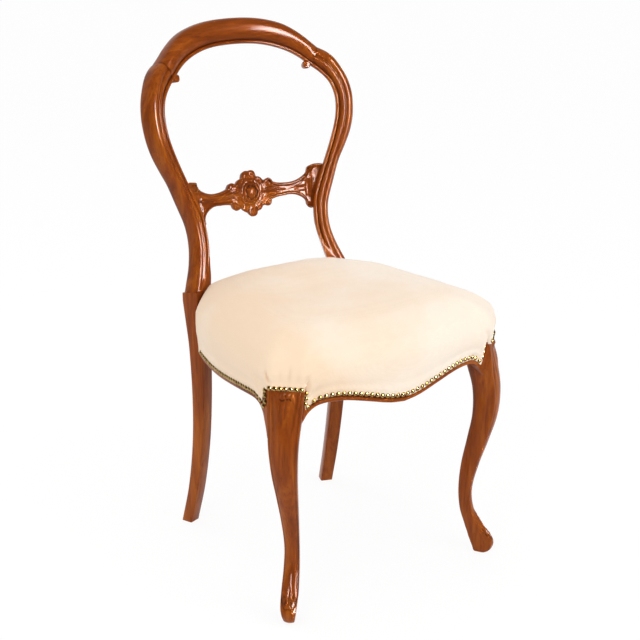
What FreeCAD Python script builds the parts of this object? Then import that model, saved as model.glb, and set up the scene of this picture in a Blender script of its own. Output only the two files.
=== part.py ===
import FreeCAD, Part
import math
import os

# Balloon back dining chair, in millimetres.
# +Z is up, the front faces -Y, and left and right are the sitter's own, so left is +X.
# The chair is laid out round its seat and then moved along Y, so that the origin is on the
# floor under the middle of its box.

V = FreeCAD.Vector
UP = V(0, 0, 1)
ORIGIN_SHIFT = -41.8

# The back follows one leaning sheet that is hollow in plan
BACK_Y = 185.7
BACK_Y_LEVEL = 450.0
BACK_LEAN = 0.2255
BACK_PLAN_RADIUS = 410.0
POST_THICKNESS = 30.5
SHOULDER_THICKNESS = 33.5
SHOULDER_Z = 750.0
CREST_THICKNESS = 25.0
CREST_END_THICKNESS = 35.0

# One side of the balloon from the front, as (x, z): inner and outer edge of the post, then the crest
POST_INNER = [(130, 447), (118, 495), (112, 540), (117, 583), (145.3, 650), (166.5, 705), (174, 748),
              (168, 779), (154, 798), (138.5, 811)]
POST_OUTER = [(164, 450), (144, 499), (138, 540), (144.5, 577), (168, 641), (193, 694), (203.5, 752),
              (198.5, 789), (180.3, 824), (151.5, 845)]
POST_STATIONS = 28
CREST_INNER = [(0, 856), (48, 853.5), (90, 842.5), (119, 828), (138.5, 811)]
CREST_OUTER = [(0, 901), (52, 898), (99, 886.5), (133, 864.5), (151.5, 845)]
CREST_STATIONS = 13

# The moulding: a bead on the inner edge, a quirk behind it, then the roll.
# A roll is given as share of the width and depth below the front face.
BEAD_RADIUS = 2.8
BEAD_DEPTH = 3.2
QUIRK_WIDTH = 2.0
QUIRK_DEPTH = 1.5
POST_ROLL = [(0.36, 3.0), (0.52, 3.6), (0.68, 0.4), (0.88, 1.0)]
CREST_ROLL = [(0.30, 1.8), (0.50, 0.0), (0.72, 1.0), (0.91, 5.2)]
ROLL_SIDE_DEPTH = 12.5
BACK_CHAMFER = 2.5
INNER_SLANT = 7.0
VOLUTE_RADIUS = 5.4
VOLUTE_LENGTH = 13.0
VOLUTE_CENTRE = (132.0, 815.5)

# Back legs: square, turned to the curve of the back and swept back to the floor.
# Each row is height, front outer corner x and y, width and depth.
BACK_LEG_TURN = 21.0
BACK_LEG = [(0, 160.4, 203.8, 22.6, 22.0), (80, 157.6, 181.1, 24.8, 21.2),
            (170, 156.3, 163.2, 25.5, 22.7), (260, 157.4, 152.6, 26.2, 25.4),
            (350, 159.8, 149.6, 29.2, 28.2), (456, 165.0, 153.0, 36.5, 33.5)]
BACK_LEG_STATIONS = 11
BACK_LEG_CORNER = 2.2
TONGUE_LENGTH = 16.0

# The carved splat between the posts, as (x, height above its middle) of the right half:
# the chain of scallops along the top and the bottom, each with the rise of its arc
BACK_FACETS = 24
BACK_HALF_TURN = 23.0
SPLAT_Z = 600.5
SPLAT_RECESS = 12.0
SPLAT_THICKNESS = 11.0
SPLAT_TOP = [(0, 36), (15, 24.5), (26, 20.5), (31, 16.5), (47.5, 11.5), (67, 6), (115, 18), (120, 32),
             (140, 33)]
SPLAT_TOP_RISE = [6.0, 2.2, -0.8, 6.0, -1.2, -6.0, -2.5, 4.0]
SPLAT_LOW = [(0, -42), (8.5, -34), (21, -27), (26.5, -25), (42, -17), (67, -14), (101, -24), (109, -37),
             (140, -36)]
SPLAT_LOW_RISE = [3.0, 2.0, -0.8, 6.0, -1.0, -4.5, -2.5, 4.0]
SPLAT_HOLLOW = [(46, -0.5), (72, 1.5), (100, 8), (122, 24), (113, -30), (98, -15), (72, -9), (46, -9)]
CARVING_DEPTH = 2.4
BOSS_RADIUS = 11.0
BOSS_RISE = 6.5
RING_RADIUS = 16.0
RING_WIDTH = 4.4
RING_RISE = 2.4
SCALLOP_STEPS = 4
SPLAT_TENON = (118.0, 133.0)
SPLAT_TENON_HALF = 13.0

# Seat rails
RAIL_TOP = 415.0
RAIL_THICKNESS = 24.0
FRONT_RAIL_END = 178.0
FRONT_RAIL_Y = -192.0
FRONT_RAIL_BOW = 22.0
SIDE_RAIL_FRONT = (223.0, -150.0)
SIDE_RAIL_BACK = (163.5, 150.0)
SIDE_RAIL_BOW = 8.0
BOW_FACETS = 12
BACK_RAIL_Y = 163.0
BACK_RAIL_BOTTOM = 350.0
SHOW_STRIP_PROUD = 2.4
FRONT_STRIP = 7.0
SIDE_STRIP = 5.0
WEB_LEDGE = 12.0
WEB_LEDGE_Z = 370.0
TENON_LOW = 378.0
TENON_HIGH = 404.0
TENON_THICKNESS = 9.0
TENON_LENGTH = 17.0
# Lower edges, from the middle outwards and from the front backwards, as (distance, height)
FRONT_EDGE = [(0, 343.0), (30, 347.2), (72, 358.5), (108, 367), (135, 369.5), (163, 366), (178, 352)]
SIDE_EDGE = [(-150, 352), (-133, 364), (-108, 367), (-60, 362), (30, 351.5), (95, 348.5), (165, 350)]
EDGE_STATIONS = 19

# Front legs: cabriole, on the diagonal of each front corner.
# Each row is height, distance of the face out along the diagonal, shift of the middle across it,
# width and depth.
FRONT_LEG = [(0, 284.0, 12.5, 14, 20), (7, 294.5, 12.5, 18.5, 33.5), (17, 297.8, 13.0, 22.5, 40.5),
             (28, 294.0, 13.8, 26, 41), (46, 279.0, 14.3, 28, 32), (80, 261.0, 14.5, 26, 24.5),
             (118, 256.6, 14.3, 24.5, 24), (165, 266.5, 15.2, 28, 31), (215, 282.5, 16.8, 34, 38),
             (262, 295.5, 18.8, 41, 43.5), (310, 298.2, 20.0, 47.5, 48), (357, 291.0, 18.5, 54, 53),
             (402.5, 280.0, 17.0, 59, 52)]
FRONT_LEG_STATIONS = 25
LEG_FACE_ROUND = 3.2
LEG_ARRIS = 2.6
LEG_BACK_SHARE = 0.56
LEG_BLOCK_BOTTOM = 352.0
LEG_BLOCK_TOP = 402.5

# Upholstery
COVER_THICKNESS = 2.0
CLEARANCE = 0.6
CROWN_Z = 481.0
BULGE_Z = 436.0
BULGE_OUT = 11.0
SEAT_CENTRE = V(0, -15, 0)
BACK_CORNER_FALL = 900.0
PLAN_HOLLOWS = (4, 8)
WEB_WIDTH = 50.0
WEB_THICKNESS = 2.0
WEB_X = [-70.0, 0.0, 70.0]
WEB_Y = [-95.0, -10.0, 75.0]
CANVAS_THICKNESS = 1.2
BOTTOM_CLOTH_THICKNESS = 0.8
SPRING_RADIUS = 29.0
SPRING_WIRE = 3.2
SPRING_TURNS = 2
SPRING_STEPS = 9
NAIL_RADIUS = 4.8
NAIL_HEIGHT = 2.8
FRONT_NAIL_RISE = 13.5
SIDE_NAIL_RISE = 10.0

# Joinery hardware
DOWEL_RADIUS = 4.0
DOWEL_LENGTH = 34.0
BLOCK_LOW = 380.0
BLOCK_HEIGHT = 24.0
SCREW_RADIUS = 2.2
SCREW_HEAD_RADIUS = 4.4
SCREW_HEAD_HEIGHT = 2.0
SCREW_LENGTH = 32.0
ROD_SIDES = 6


def plan_sag(x):
    """how far the curve of the back has come forward at a distance from the middle"""
    return BACK_PLAN_RADIUS - math.sqrt(BACK_PLAN_RADIUS ** 2 - x * x)


def back_point(x, z):
    """point on the front face of the back"""
    return V(x, BACK_Y + BACK_LEAN * (z - BACK_Y_LEVEL) - plan_sag(x), z)


def back_normal(x):
    """unit vector out of the front face of the back"""
    slope = x / math.sqrt(BACK_PLAN_RADIUS ** 2 - x * x)
    return V(-slope, -1, BACK_LEAN).normalize()


def mirrored(shape):
    return shape.mirror(V(0, 0, 0), V(1, 0, 0))


def closed_polygon(points):
    return Part.makePolygon(points + [points[0]])


def prism(points, direction):
    """closed flat polygon pushed along a direction"""
    return Part.Face(closed_polygon(points)).extrude(direction)


def circle_points(centre, axis, radius, sides):
    """points evenly round a circle square to an axis"""
    across = axis.cross(V(0.6, 0.0, 0.8)).normalize()
    up = axis.cross(across).normalize()
    turns = [2 * math.pi * k / sides for k in range(sides)]
    return [centre + across * (radius * math.cos(t)) + up * (radius * math.sin(t)) for t in turns]


def rod(start, axis, radius, length):
    """round bar drawn with a few flats"""
    return prism(circle_points(start, axis, radius, ROD_SIDES), axis * length)


def stacked(rings):
    """closed solid through rings of points, with flat faces between them"""
    faces = [Part.Face(closed_polygon(rings[0])), Part.Face(closed_polygon(rings[-1]))]
    for low, high in zip(rings, rings[1:]):
        for i in range(len(low)):
            a, b = low[i - 1], low[i]
            c, d = high[i], high[i - 1]
            if abs((d - a).dot((b - a).cross(c - a))) < 1e-6:
                faces.append(Part.Face(closed_polygon([a, b, c, d])))
            else:
                faces.append(Part.Face(closed_polygon([a, b, c])))
                faces.append(Part.Face(closed_polygon([a, c, d])))
    solid = Part.Solid(Part.Shell(faces))
    return solid if solid.Volume > 0 else solid.reversed()


def smooth_rows(rows, count):
    """rows of numbers read at even steps off a smooth curve through the given rows"""
    first = [2 * a - b for a, b in zip(rows[0], rows[1])]
    last = [2 * a - b for a, b in zip(rows[-1], rows[-2])]
    padded = [first] + list(rows) + [last]
    found = []
    for k in range(count):
        t = (len(rows) - 1) * k / (count - 1)
        i = min(int(t), len(rows) - 2)
        u = t - i
        row = []
        for a, b, c, d in zip(*padded[i:i + 4]):
            square = (2 * a - 5 * b + 4 * c - d) * u * u
            cube = (3 * b - a - 3 * c + d) * u ** 3
            row.append(0.5 * (2 * b + (c - a) * u + square + cube))
        found.append(row)
    return found


def scallops(points, rises):
    """points along a chain of shallow curves, each standing off its chord by a rise"""
    found = []
    for a, b, rise in zip(points, points[1:], rises):
        out = V(a.z - b.z, 0, b.x - a.x).normalize()
        for k in range(SCALLOP_STEPS):
            t = k / SCALLOP_STEPS
            found.append(a + (b - a) * t + out * (rise * 4 * t * (1 - t)))
    return found + [points[-1]]


def moulded_section(inner, outer, thickness, roll):
    """closed outline across the moulded frame, from its inner bead to its outer roll"""
    a = back_point(*inner)
    b = back_point(*outer)
    across = b - a
    width = across.Length
    across.normalize()
    front = back_normal((inner[0] + outer[0]) / 2)
    front = (front - across * front.dot(across)).normalize()
    foot = BEAD_DEPTH + BEAD_RADIUS
    quirk = 2 * BEAD_RADIUS + QUIRK_WIDTH
    profile = []
    for angle in (180, 90, 0):
        t = math.radians(angle)
        profile.append((BEAD_RADIUS * (1 + math.cos(t)), foot - BEAD_RADIUS * math.sin(t)))
    profile.append((quirk - QUIRK_WIDTH / 2, foot + QUIRK_DEPTH))
    profile += [(share * width, depth) for share, depth in roll]
    profile += [(width, ROLL_SIDE_DEPTH), (width, thickness - BACK_CHAMFER)]
    profile += [(width - BACK_CHAMFER, thickness), (INNER_SLANT, thickness), (0, ROLL_SIDE_DEPTH)]
    return closed_polygon([a + across * s - front * depth for s, depth in profile])


def back_leg_frame():
    """directions across and back of a left back leg"""
    turn = math.radians(BACK_LEG_TURN)
    return V(-math.cos(turn), math.sin(turn), 0), V(math.sin(turn), math.cos(turn), 0)


def back_leg_section(z, x, y, width, depth):
    """square section of a back leg with small cut corners"""
    across, back = back_leg_frame()
    c = BACK_LEG_CORNER
    outline = [(c, 0), (width - c, 0), (width, c), (width, depth - c), (width - c, depth), (c, depth),
               (0, depth - c), (0, c)]
    return closed_polygon([V(x, y, z) + across * u + back * v for u, v in outline])


def lamb_tongue():
    """wedge that slopes the front of the square block where the moulding dies into it"""
    across, back = back_leg_frame()
    z, x, y, width, depth = BACK_LEG[-1]
    corner = V(x, y, z) - across * 5
    foot = corner - back * 2 - UP * TONGUE_LENGTH
    top = corner + back * 8 + UP
    return prism([foot, corner - back * 2 + UP, top], across * (width + 10))


def left_post_blank():
    """back leg and moulded upright in one piece of wood, before its mortises"""
    sections = []
    for a, b, c, d in smooth_rows([i + o for i, o in zip(POST_INNER, POST_OUTER)], POST_STATIONS):
        rise = min(1.0, max(0.0, (b - 640.0) / (SHOULDER_Z - 640.0)))
        thickness = POST_THICKNESS + (SHOULDER_THICKNESS - POST_THICKNESS) * rise
        sections.append(moulded_section((a, b), (c, d), thickness, POST_ROLL))
    upright = Part.makeLoft(sections, True, True)
    rows = smooth_rows(BACK_LEG, BACK_LEG_STATIONS)
    leg = Part.makeLoft([back_leg_section(*row) for row in rows], True, True)
    return upright.fuse(leg.cut(lamb_tongue()))


def crest_blank():
    """arched top rail with a volute at each end of its bead, before its dowel holes"""
    half = smooth_rows([i + o for i, o in zip(CREST_INNER, CREST_OUTER)], CREST_STATIONS)
    end = CREST_INNER[-1][0]
    sections = []
    for a, b, c, d in [(-a, b, -c, d) for a, b, c, d in reversed(half[1:])] + half:
        thickness = CREST_THICKNESS + (CREST_END_THICKNESS - CREST_THICKNESS) * (a / end) ** 2
        sections.append(moulded_section((a, b), (c, d), thickness, CREST_ROLL))
    rail = Part.makeLoft(sections, True, True)
    for side in (1, -1):
        x, z = VOLUTE_CENTRE
        front = back_normal(side * x)
        centre = back_point(side * x, z) + front * 1.2
        disc = Part.makeCylinder(VOLUTE_RADIUS, VOLUTE_LENGTH, centre, front * -1)
        rail = rail.fuse(disc)
    return rail


def left_crest_dowels():
    """two dowels square to the joint between the crest and the left post"""
    a = back_point(*POST_INNER[-1])
    b = back_point(*POST_OUTER[-1])
    across = b - a
    width = across.Length
    across.normalize()
    front = back_normal((POST_INNER[-1][0] + POST_OUTER[-1][0]) / 2)
    front = (front - across * front.dot(across)).normalize()
    through = across.cross(front)
    dowels = []
    for share in (0.32, 0.68):
        middle = a + across * (share * width) - front * (POST_THICKNESS / 2)
        dowels.append(rod(middle - through * (DOWEL_LENGTH / 2), through, DOWEL_RADIUS, DOWEL_LENGTH))
    return dowels


def back_tube(depth):
    """everything in front of a sheet that lies some depth behind the front face of the back"""
    slant = math.hypot(1, BACK_LEAN)
    centre = BACK_Y - BACK_PLAN_RADIUS * slant
    radius = BACK_PLAN_RADIUS + depth
    plan = []
    for k in range(BACK_FACETS + 1):
        turn = math.radians(BACK_HALF_TURN * (1 - 2 * k / BACK_FACETS))
        plan.append(V(radius * math.sin(turn), centre + radius * slant * math.cos(turn), BACK_Y_LEVEL))
    plan += [V(plan[-1].x, 0, BACK_Y_LEVEL), V(plan[0].x, 0, BACK_Y_LEVEL)]
    return prism(plan, V(0, BACK_LEAN, 1) * 300)


def splat_plate():
    """front view of the splat, a lobed cartouche on waisted arms with scrolled ends"""
    top = scallops([V(x, 0, SPLAT_Z + dz) for x, dz in SPLAT_TOP], SPLAT_TOP_RISE)
    low = scallops([V(x, 0, SPLAT_Z + dz) for x, dz in SPLAT_LOW], [-rise for rise in SPLAT_LOW_RISE])
    half = prism(top + low[::-1], V(0, 400, 0))
    return half.fuse(mirrored(half)).removeSplitter()


def splat_blank():
    """carved splat: lobed plate with hollowed arms, a domed boss and the ring round it"""
    body = splat_plate().common(back_tube(SPLAT_RECESS + SPLAT_THICKNESS)).cut(back_tube(SPLAT_RECESS))
    hollow = prism([V(x, 0, SPLAT_Z + dz) for x, dz in SPLAT_HOLLOW], V(0, 400, 0))
    hollow = hollow.common(back_tube(SPLAT_RECESS + CARVING_DEPTH))
    body = body.cut([hollow, mirrored(hollow)])
    front = back_normal(0)
    middle = back_point(0, SPLAT_Z) + V(0, SPLAT_RECESS, 0) - front

    def rings(rows):
        return [circle_points(middle + front * height, front, radius, 14) for radius, height in rows]

    bead = stacked(rings([(RING_RADIUS + RING_WIDTH / 2, 0), (RING_RADIUS, 1 + RING_RISE)]))
    dish = stacked(rings([(RING_RADIUS - RING_WIDTH / 2, 0), (RING_RADIUS, 1.01 + RING_RISE)]))
    boss = stacked(rings([(BOSS_RADIUS, 0), (0.8 * BOSS_RADIUS, 0.62 * BOSS_RISE),
                          (0.3 * BOSS_RADIUS, BOSS_RISE)]))
    return body.fuse(bead.cut(dish)).fuse(boss)


def left_splat_tenon():
    """tongue on the left end of the splat"""
    start, end = SPLAT_TENON
    block = Part.makeBox(end - start, 200, 2 * SPLAT_TENON_HALF, V(start, 100, SPLAT_Z - SPLAT_TENON_HALF))
    return block.common(back_tube(SPLAT_RECESS + SPLAT_THICKNESS - 1)).cut(back_tube(SPLAT_RECESS + 3))


def front_face_y(x):
    """y of the outer face of the front rail"""
    return FRONT_RAIL_Y - FRONT_RAIL_BOW * (1 - (x / FRONT_RAIL_END) ** 2)


def front_band(outside, inside, low, high, half_length):
    """bowed band from outside the front rail's face to inside it"""
    places = [half_length * (1 - 2 * k / BOW_FACETS) for k in range(BOW_FACETS + 1)]
    face = [V(x, front_face_y(x) - outside, low) for x in places]
    back = [V(x, front_face_y(x) + inside, low) for x in reversed(places)]
    return prism(face + back, V(0, 0, high - low))


def front_edge(rise):
    """serpentine lower edge of the front rail, raised by some height, from the left end to the right"""
    half = smooth_rows(FRONT_EDGE, EDGE_STATIONS)
    return [V(x, 0, z + rise) for x, z in [(-x, z) for x, z in reversed(half[1:])] + half]


def front_outline(rise, top, back_y):
    """front view above the serpentine edge, pushed back to a depth"""
    end = FRONT_EDGE[-1][0]
    solid = prism(front_edge(rise) + [V(end, 0, top), V(-end, 0, top)], V(0, 400, 0))
    solid.translate(V(0, back_y - 400, 0))
    return solid


def front_tenon(side):
    """tongue on one end of the front rail"""
    start = FRONT_RAIL_END - 4 if side > 0 else -FRONT_RAIL_END - TENON_LENGTH
    return Part.makeBox(TENON_LENGTH + 4, TENON_THICKNESS, TENON_HIGH - TENON_LOW,
                        V(start, FRONT_RAIL_Y + 8, TENON_LOW))


def front_rail_blank():
    """serpentine front rail with its show strip, the ledge for the webbing and its tenons"""
    above = front_outline(0, RAIL_TOP, -100)
    body = above.common(front_band(0, RAIL_THICKNESS, 320, 430, FRONT_RAIL_END))
    strip = above.cut(front_outline(FRONT_STRIP, RAIL_TOP + 5, -100))
    strip = strip.common(front_band(SHOW_STRIP_PROUD, 6, 320, 430, FRONT_RAIL_END))
    ledge = front_band(WEB_LEDGE - RAIL_THICKNESS, RAIL_THICKNESS + 6, 320, WEB_LEDGE_Z, 160)
    return body.fuse(strip).cut(ledge).fuse([front_tenon(1), front_tenon(-1)])


def side_point(s, off, z):
    """point by distance along the left side rail and distance out of its face"""
    start = V(SIDE_RAIL_FRONT[0], SIDE_RAIL_FRONT[1], 0)
    along = V(SIDE_RAIL_BACK[0], SIDE_RAIL_BACK[1], 0) - start
    length = along.Length
    along.normalize()
    out = V(along.y, -along.x, 0)
    bow = SIDE_RAIL_BOW * 4 * (s / length) * (1 - s / length)
    return start + along * s + out * (bow + off) + V(0, 0, z)


def side_length():
    return math.hypot(SIDE_RAIL_BACK[0] - SIDE_RAIL_FRONT[0], SIDE_RAIL_BACK[1] - SIDE_RAIL_FRONT[1])


def side_band(outside, inside, low, high, first, last):
    """gently bowed band along the left side rail, between two distances along it"""
    places = [first + (last - first) * k / BOW_FACETS for k in range(BOW_FACETS + 1)]
    face = [side_point(s, outside, low) for s in places]
    back = [side_point(s, -inside, low) for s in reversed(places)]
    return prism(face + back, V(0, 0, high - low))


def side_outline(rise, top):
    """side view above the lower edge of a side rail, pushed outwards"""
    low = [V(0, y, z + rise) for y, z in smooth_rows(SIDE_EDGE, EDGE_STATIONS)]
    return prism(low + [V(0, low[-1].y, top), V(0, low[0].y, top)], V(300, 0, 0))


def side_tenon(first, last):
    """tongue along the middle of the left side rail between two distances along it"""
    inner = -RAIL_THICKNESS / 2 - TENON_THICKNESS / 2
    outer = inner + TENON_THICKNESS
    points = [side_point(first, inner, TENON_LOW), side_point(last, inner, TENON_LOW),
              side_point(last, outer, TENON_LOW), side_point(first, outer, TENON_LOW)]
    return prism(points, V(0, 0, TENON_HIGH - TENON_LOW))


def side_rail_blank(post):
    """left side rail, scribed to the face of the post, with its strip, ledge and tenons"""
    length = side_length()
    above = side_outline(0, RAIL_TOP)
    body = above.common(side_band(0, RAIL_THICKNESS, 320, 430, 0, length + 12))
    strip = above.cut(side_outline(SIDE_STRIP, RAIL_TOP + 5))
    strip = strip.common(side_band(SHOW_STRIP_PROUD, 6, 320, 430, 0, length + 12))
    ledge = side_band(WEB_LEDGE - RAIL_THICKNESS, RAIL_THICKNESS + 6, 320, WEB_LEDGE_Z - WEB_THICKNESS,
                      14, length - 8)
    rail = body.fuse(strip).cut(ledge).cut(post)
    rail = max(rail.Solids, key=lambda solid: solid.Volume)
    return rail.fuse(side_tenons())


def side_tenons():
    length = side_length()
    return [side_tenon(-TENON_LENGTH, 3), side_tenon(length - 6, length + 14)]


def back_tenon(side):
    """tongue on one end of the back rail"""
    length = 22.0
    corner = V(128.0 if side > 0 else -128.0 - length, BACK_RAIL_Y + 13, TENON_LOW)
    return Part.makeBox(length, TENON_THICKNESS, TENON_HIGH - TENON_LOW, corner)


def back_rail_blank(posts):
    """straight back rail between the posts"""
    rail = Part.makeBox(290, RAIL_THICKNESS, RAIL_TOP - BACK_RAIL_BOTTOM,
                        V(-145, BACK_RAIL_Y, BACK_RAIL_BOTTOM))
    ledge = Part.makeBox(240, WEB_LEDGE + 6, WEB_LEDGE_Z - BACK_RAIL_BOTTOM + 1,
                         V(-120, BACK_RAIL_Y - 6, BACK_RAIL_BOTTOM - 1))
    rail = rail.cut([ledge] + posts)
    rail = max(rail.Solids, key=lambda solid: solid.Volume)
    return rail.fuse([back_tenon(1), back_tenon(-1)])


def leg_point(out, across, z):
    """point of the left front leg: out along its diagonal and across it"""
    return V((out + across) / math.sqrt(2), (across - out) / math.sqrt(2), z)


def leg_section(z, front, shift, width, depth):
    """section of a cabriole leg: rounded face, cut arrises, sides that close to the back"""
    half = width / 2
    edge = front - LEG_FACE_ROUND * width / 59.0
    rear = half * LEG_BACK_SHARE
    right = [(front, 0), (edge, half - LEG_ARRIS), (edge - LEG_ARRIS, half),
             (front - 0.9 * depth, rear), (front - depth, rear * 0.55)]
    left = [(out, -across) for out, across in reversed(right[1:])]
    return closed_polygon([leg_point(out, shift + across, z) for out, across in right + left])


def leg_block(grow, low, high):
    """five-sided head of a front leg, which takes both rails"""
    z, front, shift, width, depth = FRONT_LEG[-1]
    face = front - LEG_FACE_ROUND + grow
    points = [V(FRONT_RAIL_END, SIDE_RAIL_FRONT[1], low), V(FRONT_RAIL_END, FRONT_RAIL_Y, low),
              leg_point(face, shift - width / 2 + 1, low), leg_point(face, shift + width / 2 - 1, low),
              V(SIDE_RAIL_FRONT[0], SIDE_RAIL_FRONT[1], low)]
    return prism(points, V(0, 0, high - low))


def front_leg_blank():
    rows = smooth_rows(FRONT_LEG, FRONT_LEG_STATIONS)
    leg = Part.makeLoft([leg_section(*row) for row in rows], True, True)
    room = Part.makeBox(90, 90, 120, V(FRONT_RAIL_END, SIDE_RAIL_FRONT[1] - 90, LEG_BLOCK_BOTTOM))
    below = Part.makeBox(400, 400, LEG_BLOCK_BOTTOM + 20, V(50, -400, -20))
    leg = leg.common(room.fuse(below))
    block = leg_block(0, LEG_BLOCK_BOTTOM, LEG_BLOCK_TOP)
    return leg.fuse([block, leg_block(-1.1, LEG_BLOCK_TOP, RAIL_TOP)])


def front_corner_block():
    """brace that fits round the head of the left front leg"""
    z = BLOCK_LOW
    inner = -RAIL_THICKNESS - 0.2
    corner = side_point(5.0, inner, z)
    points = [V(118, front_face_y(118) - inner, z), V(FRONT_RAIL_END, FRONT_RAIL_Y - inner, z),
              V(FRONT_RAIL_END, SIDE_RAIL_FRONT[1], z), V(corner.x, SIDE_RAIL_FRONT[1], z),
              side_point(52, inner, z)]
    return prism(points, V(0, 0, BLOCK_HEIGHT))


def back_corner_block():
    """brace in front of the left post"""
    z = BLOCK_LOW
    length = side_length()
    points = [V(88, BACK_RAIL_Y, z), V(130.5, BACK_RAIL_Y, z), V(131, 160.4, z),
              side_point(length + 3, -RAIL_THICKNESS - 0.2, z),
              side_point(length - 52, -RAIL_THICKNESS - 0.2, z)]
    return prism(points, V(0, 0, BLOCK_HEIGHT))


def screw(seat, direction):
    """round-headed wood screw, from the face its head sits on"""
    shank = rod(seat, direction, SCREW_RADIUS, SCREW_LENGTH)
    return shank.fuse(rod(seat, direction * -1, SCREW_HEAD_RADIUS, SCREW_HEAD_HEIGHT))


def left_block_screws():
    """two screws through each left brace, one into each rail"""
    z = BLOCK_LOW + BLOCK_HEIGHT / 2
    length = side_length()
    out = (side_point(1, 1, 0) - side_point(1, 0, 0)).normalize()
    front = [screw(V(142, -156.0, z), V(0, -1, 0)), screw(side_point(32, -RAIL_THICKNESS - 16.5, z), out)]
    back = [screw(V(108, 146.0, z), V(0, 1, 0)),
            screw(side_point(length - 30, -RAIL_THICKNESS - 15.0, z), out)]
    return front + back


def side_x(y):
    """x of the outer face of the left side rail at a depth of the seat"""
    length = side_length()
    share = (y - SIDE_RAIL_FRONT[1]) / (SIDE_RAIL_BACK[1] - SIDE_RAIL_FRONT[1])
    return side_point(share * length, 0, 0).x


def webs_front_to_back():
    webs = []
    for x in WEB_X:
        start = front_face_y(abs(x) + WEB_WIDTH / 2) + WEB_LEDGE + 0.5
        end = BACK_RAIL_Y + WEB_LEDGE - 0.5
        webs.append(Part.makeBox(WEB_WIDTH, end - start, WEB_THICKNESS,
                                 V(x - WEB_WIDTH / 2, start, WEB_LEDGE_Z - WEB_THICKNESS)))
    return webs


def webs_side_to_side():
    webs = []
    for y in WEB_Y:
        reach = side_x(y + WEB_WIDTH / 2) - WEB_LEDGE - 2.5
        webs.append(Part.makeBox(2 * reach, WEB_WIDTH, WEB_THICKNESS,
                                 V(-reach, y - WEB_WIDTH / 2, WEB_LEDGE_Z - 2 * WEB_THICKNESS)))
    return webs


def coil_spring(x, y):
    """square wire coiled on a waisted spring"""
    low = WEB_LEDGE_Z + SPRING_WIRE / 2
    high = RAIL_TOP - SPRING_WIRE / 2
    half = SPRING_WIRE / 2
    count = SPRING_TURNS * SPRING_STEPS
    rings = []
    for i in range(count + 1):
        share = i / count
        turn = 2 * math.pi * SPRING_TURNS * share
        radial = V(math.cos(turn), math.sin(turn), 0)
        radius = SPRING_RADIUS * (1 - 0.22 * math.sin(math.pi * share))
        middle = V(x, y, low + (high - low) * share) + radial * radius
        corners = [(half, half), (-half, half), (-half, -half), (half, -half)]
        rings.append([middle + radial * r + UP * h for r, h in corners])
    return stacked(rings)


def spring_set():
    return [coil_spring(x, y) for y in (WEB_Y[0] + 15, WEB_Y[2] - 5) for x in (WEB_X[0], WEB_X[2])]


def both_sides(half):
    """closed outline from its left half, which runs from the front middle to the back middle"""
    return half + [V(-p.x, p.y, p.z) for p in reversed(half[1:-1])]


def spring_canvas():
    """canvas over the springs, tacked on top of the rails"""
    z = RAIL_TOP
    half = [V(0, front_face_y(0) + 8, z), V(90, front_face_y(90) + 8, z), V(168, FRONT_RAIL_Y + 8, z),
            V(205, -150, z), V(side_x(0) - 8, 0, z), V(side_x(120) - 8, 120, z), V(136, 146, z),
            V(122, BACK_RAIL_Y + 14, z), V(0, BACK_RAIL_Y + 14, z)]
    return prism(both_sides(half), V(0, 0, CANVAS_THICKNESS))


def bottom_cloth():
    """dust cloth under the webbing"""
    z = WEB_LEDGE_Z - 2 * WEB_THICKNESS - BOTTOM_CLOTH_THICKNESS
    inset = WEB_LEDGE + 1.5
    half = [V(x, front_face_y(x) + inset, z) for x in (0, 52, 104, 155)]
    half += [V(155, -172, z), V(172, -144, z), V(195, -128, z)]
    half += [V(side_x(y) - inset - 1.5, y, z) for y in (-110, -20, 70, 125)]
    half += [V(128, 148, z), V(112, BACK_RAIL_Y + WEB_LEDGE - 1, z), V(0, BACK_RAIL_Y + WEB_LEDGE - 1, z)]
    return prism(both_sides(half), V(0, 0, BOTTOM_CLOTH_THICKNESS))


def skirt_plan():
    """left half of the outside of the cover at the rails, from the front middle to the back middle"""
    off = COVER_THICKNESS + CLEARANCE
    half = [V(x, front_face_y(x) - off, 0) for x in (0, 50, 98, 142, 178)]
    z, face, shift, width, depth = FRONT_LEG[-1]
    half += [leg_point(face, shift - width / 2 + 1, 0), leg_point(face + 1.5, shift, 0),
             leg_point(face, shift + width / 2 - 1, 0)]
    length = side_length()
    half += [side_point(share * length, off, 0) for share in (0.02, 0.26, 0.5, 0.74, 0.93)]
    back = BACK_RAIL_Y + RAIL_THICKNESS + off
    return half + [V(158, 174, 0), V(142, back, 0), V(70, back, 0), V(0, back, 0)]


def bulge_plan():
    """the same at the fullest height of the seat"""
    half = []
    for p in skirt_plan():
        out = (p - SEAT_CENTRE).normalize()
        corner = max(0.0, p.x - 160) * max(0.0, -p.y - 130) / 900.0
        swell = BULGE_OUT * min(1.0, max(0.15, (165 - p.y) / 60.0)) - 2.8 * corner
        half.append(p + out * swell)
    for i in PLAN_HOLLOWS:
        half[i] = (half[i - 1] + half[i + 1]) * 0.505
    return half


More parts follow.
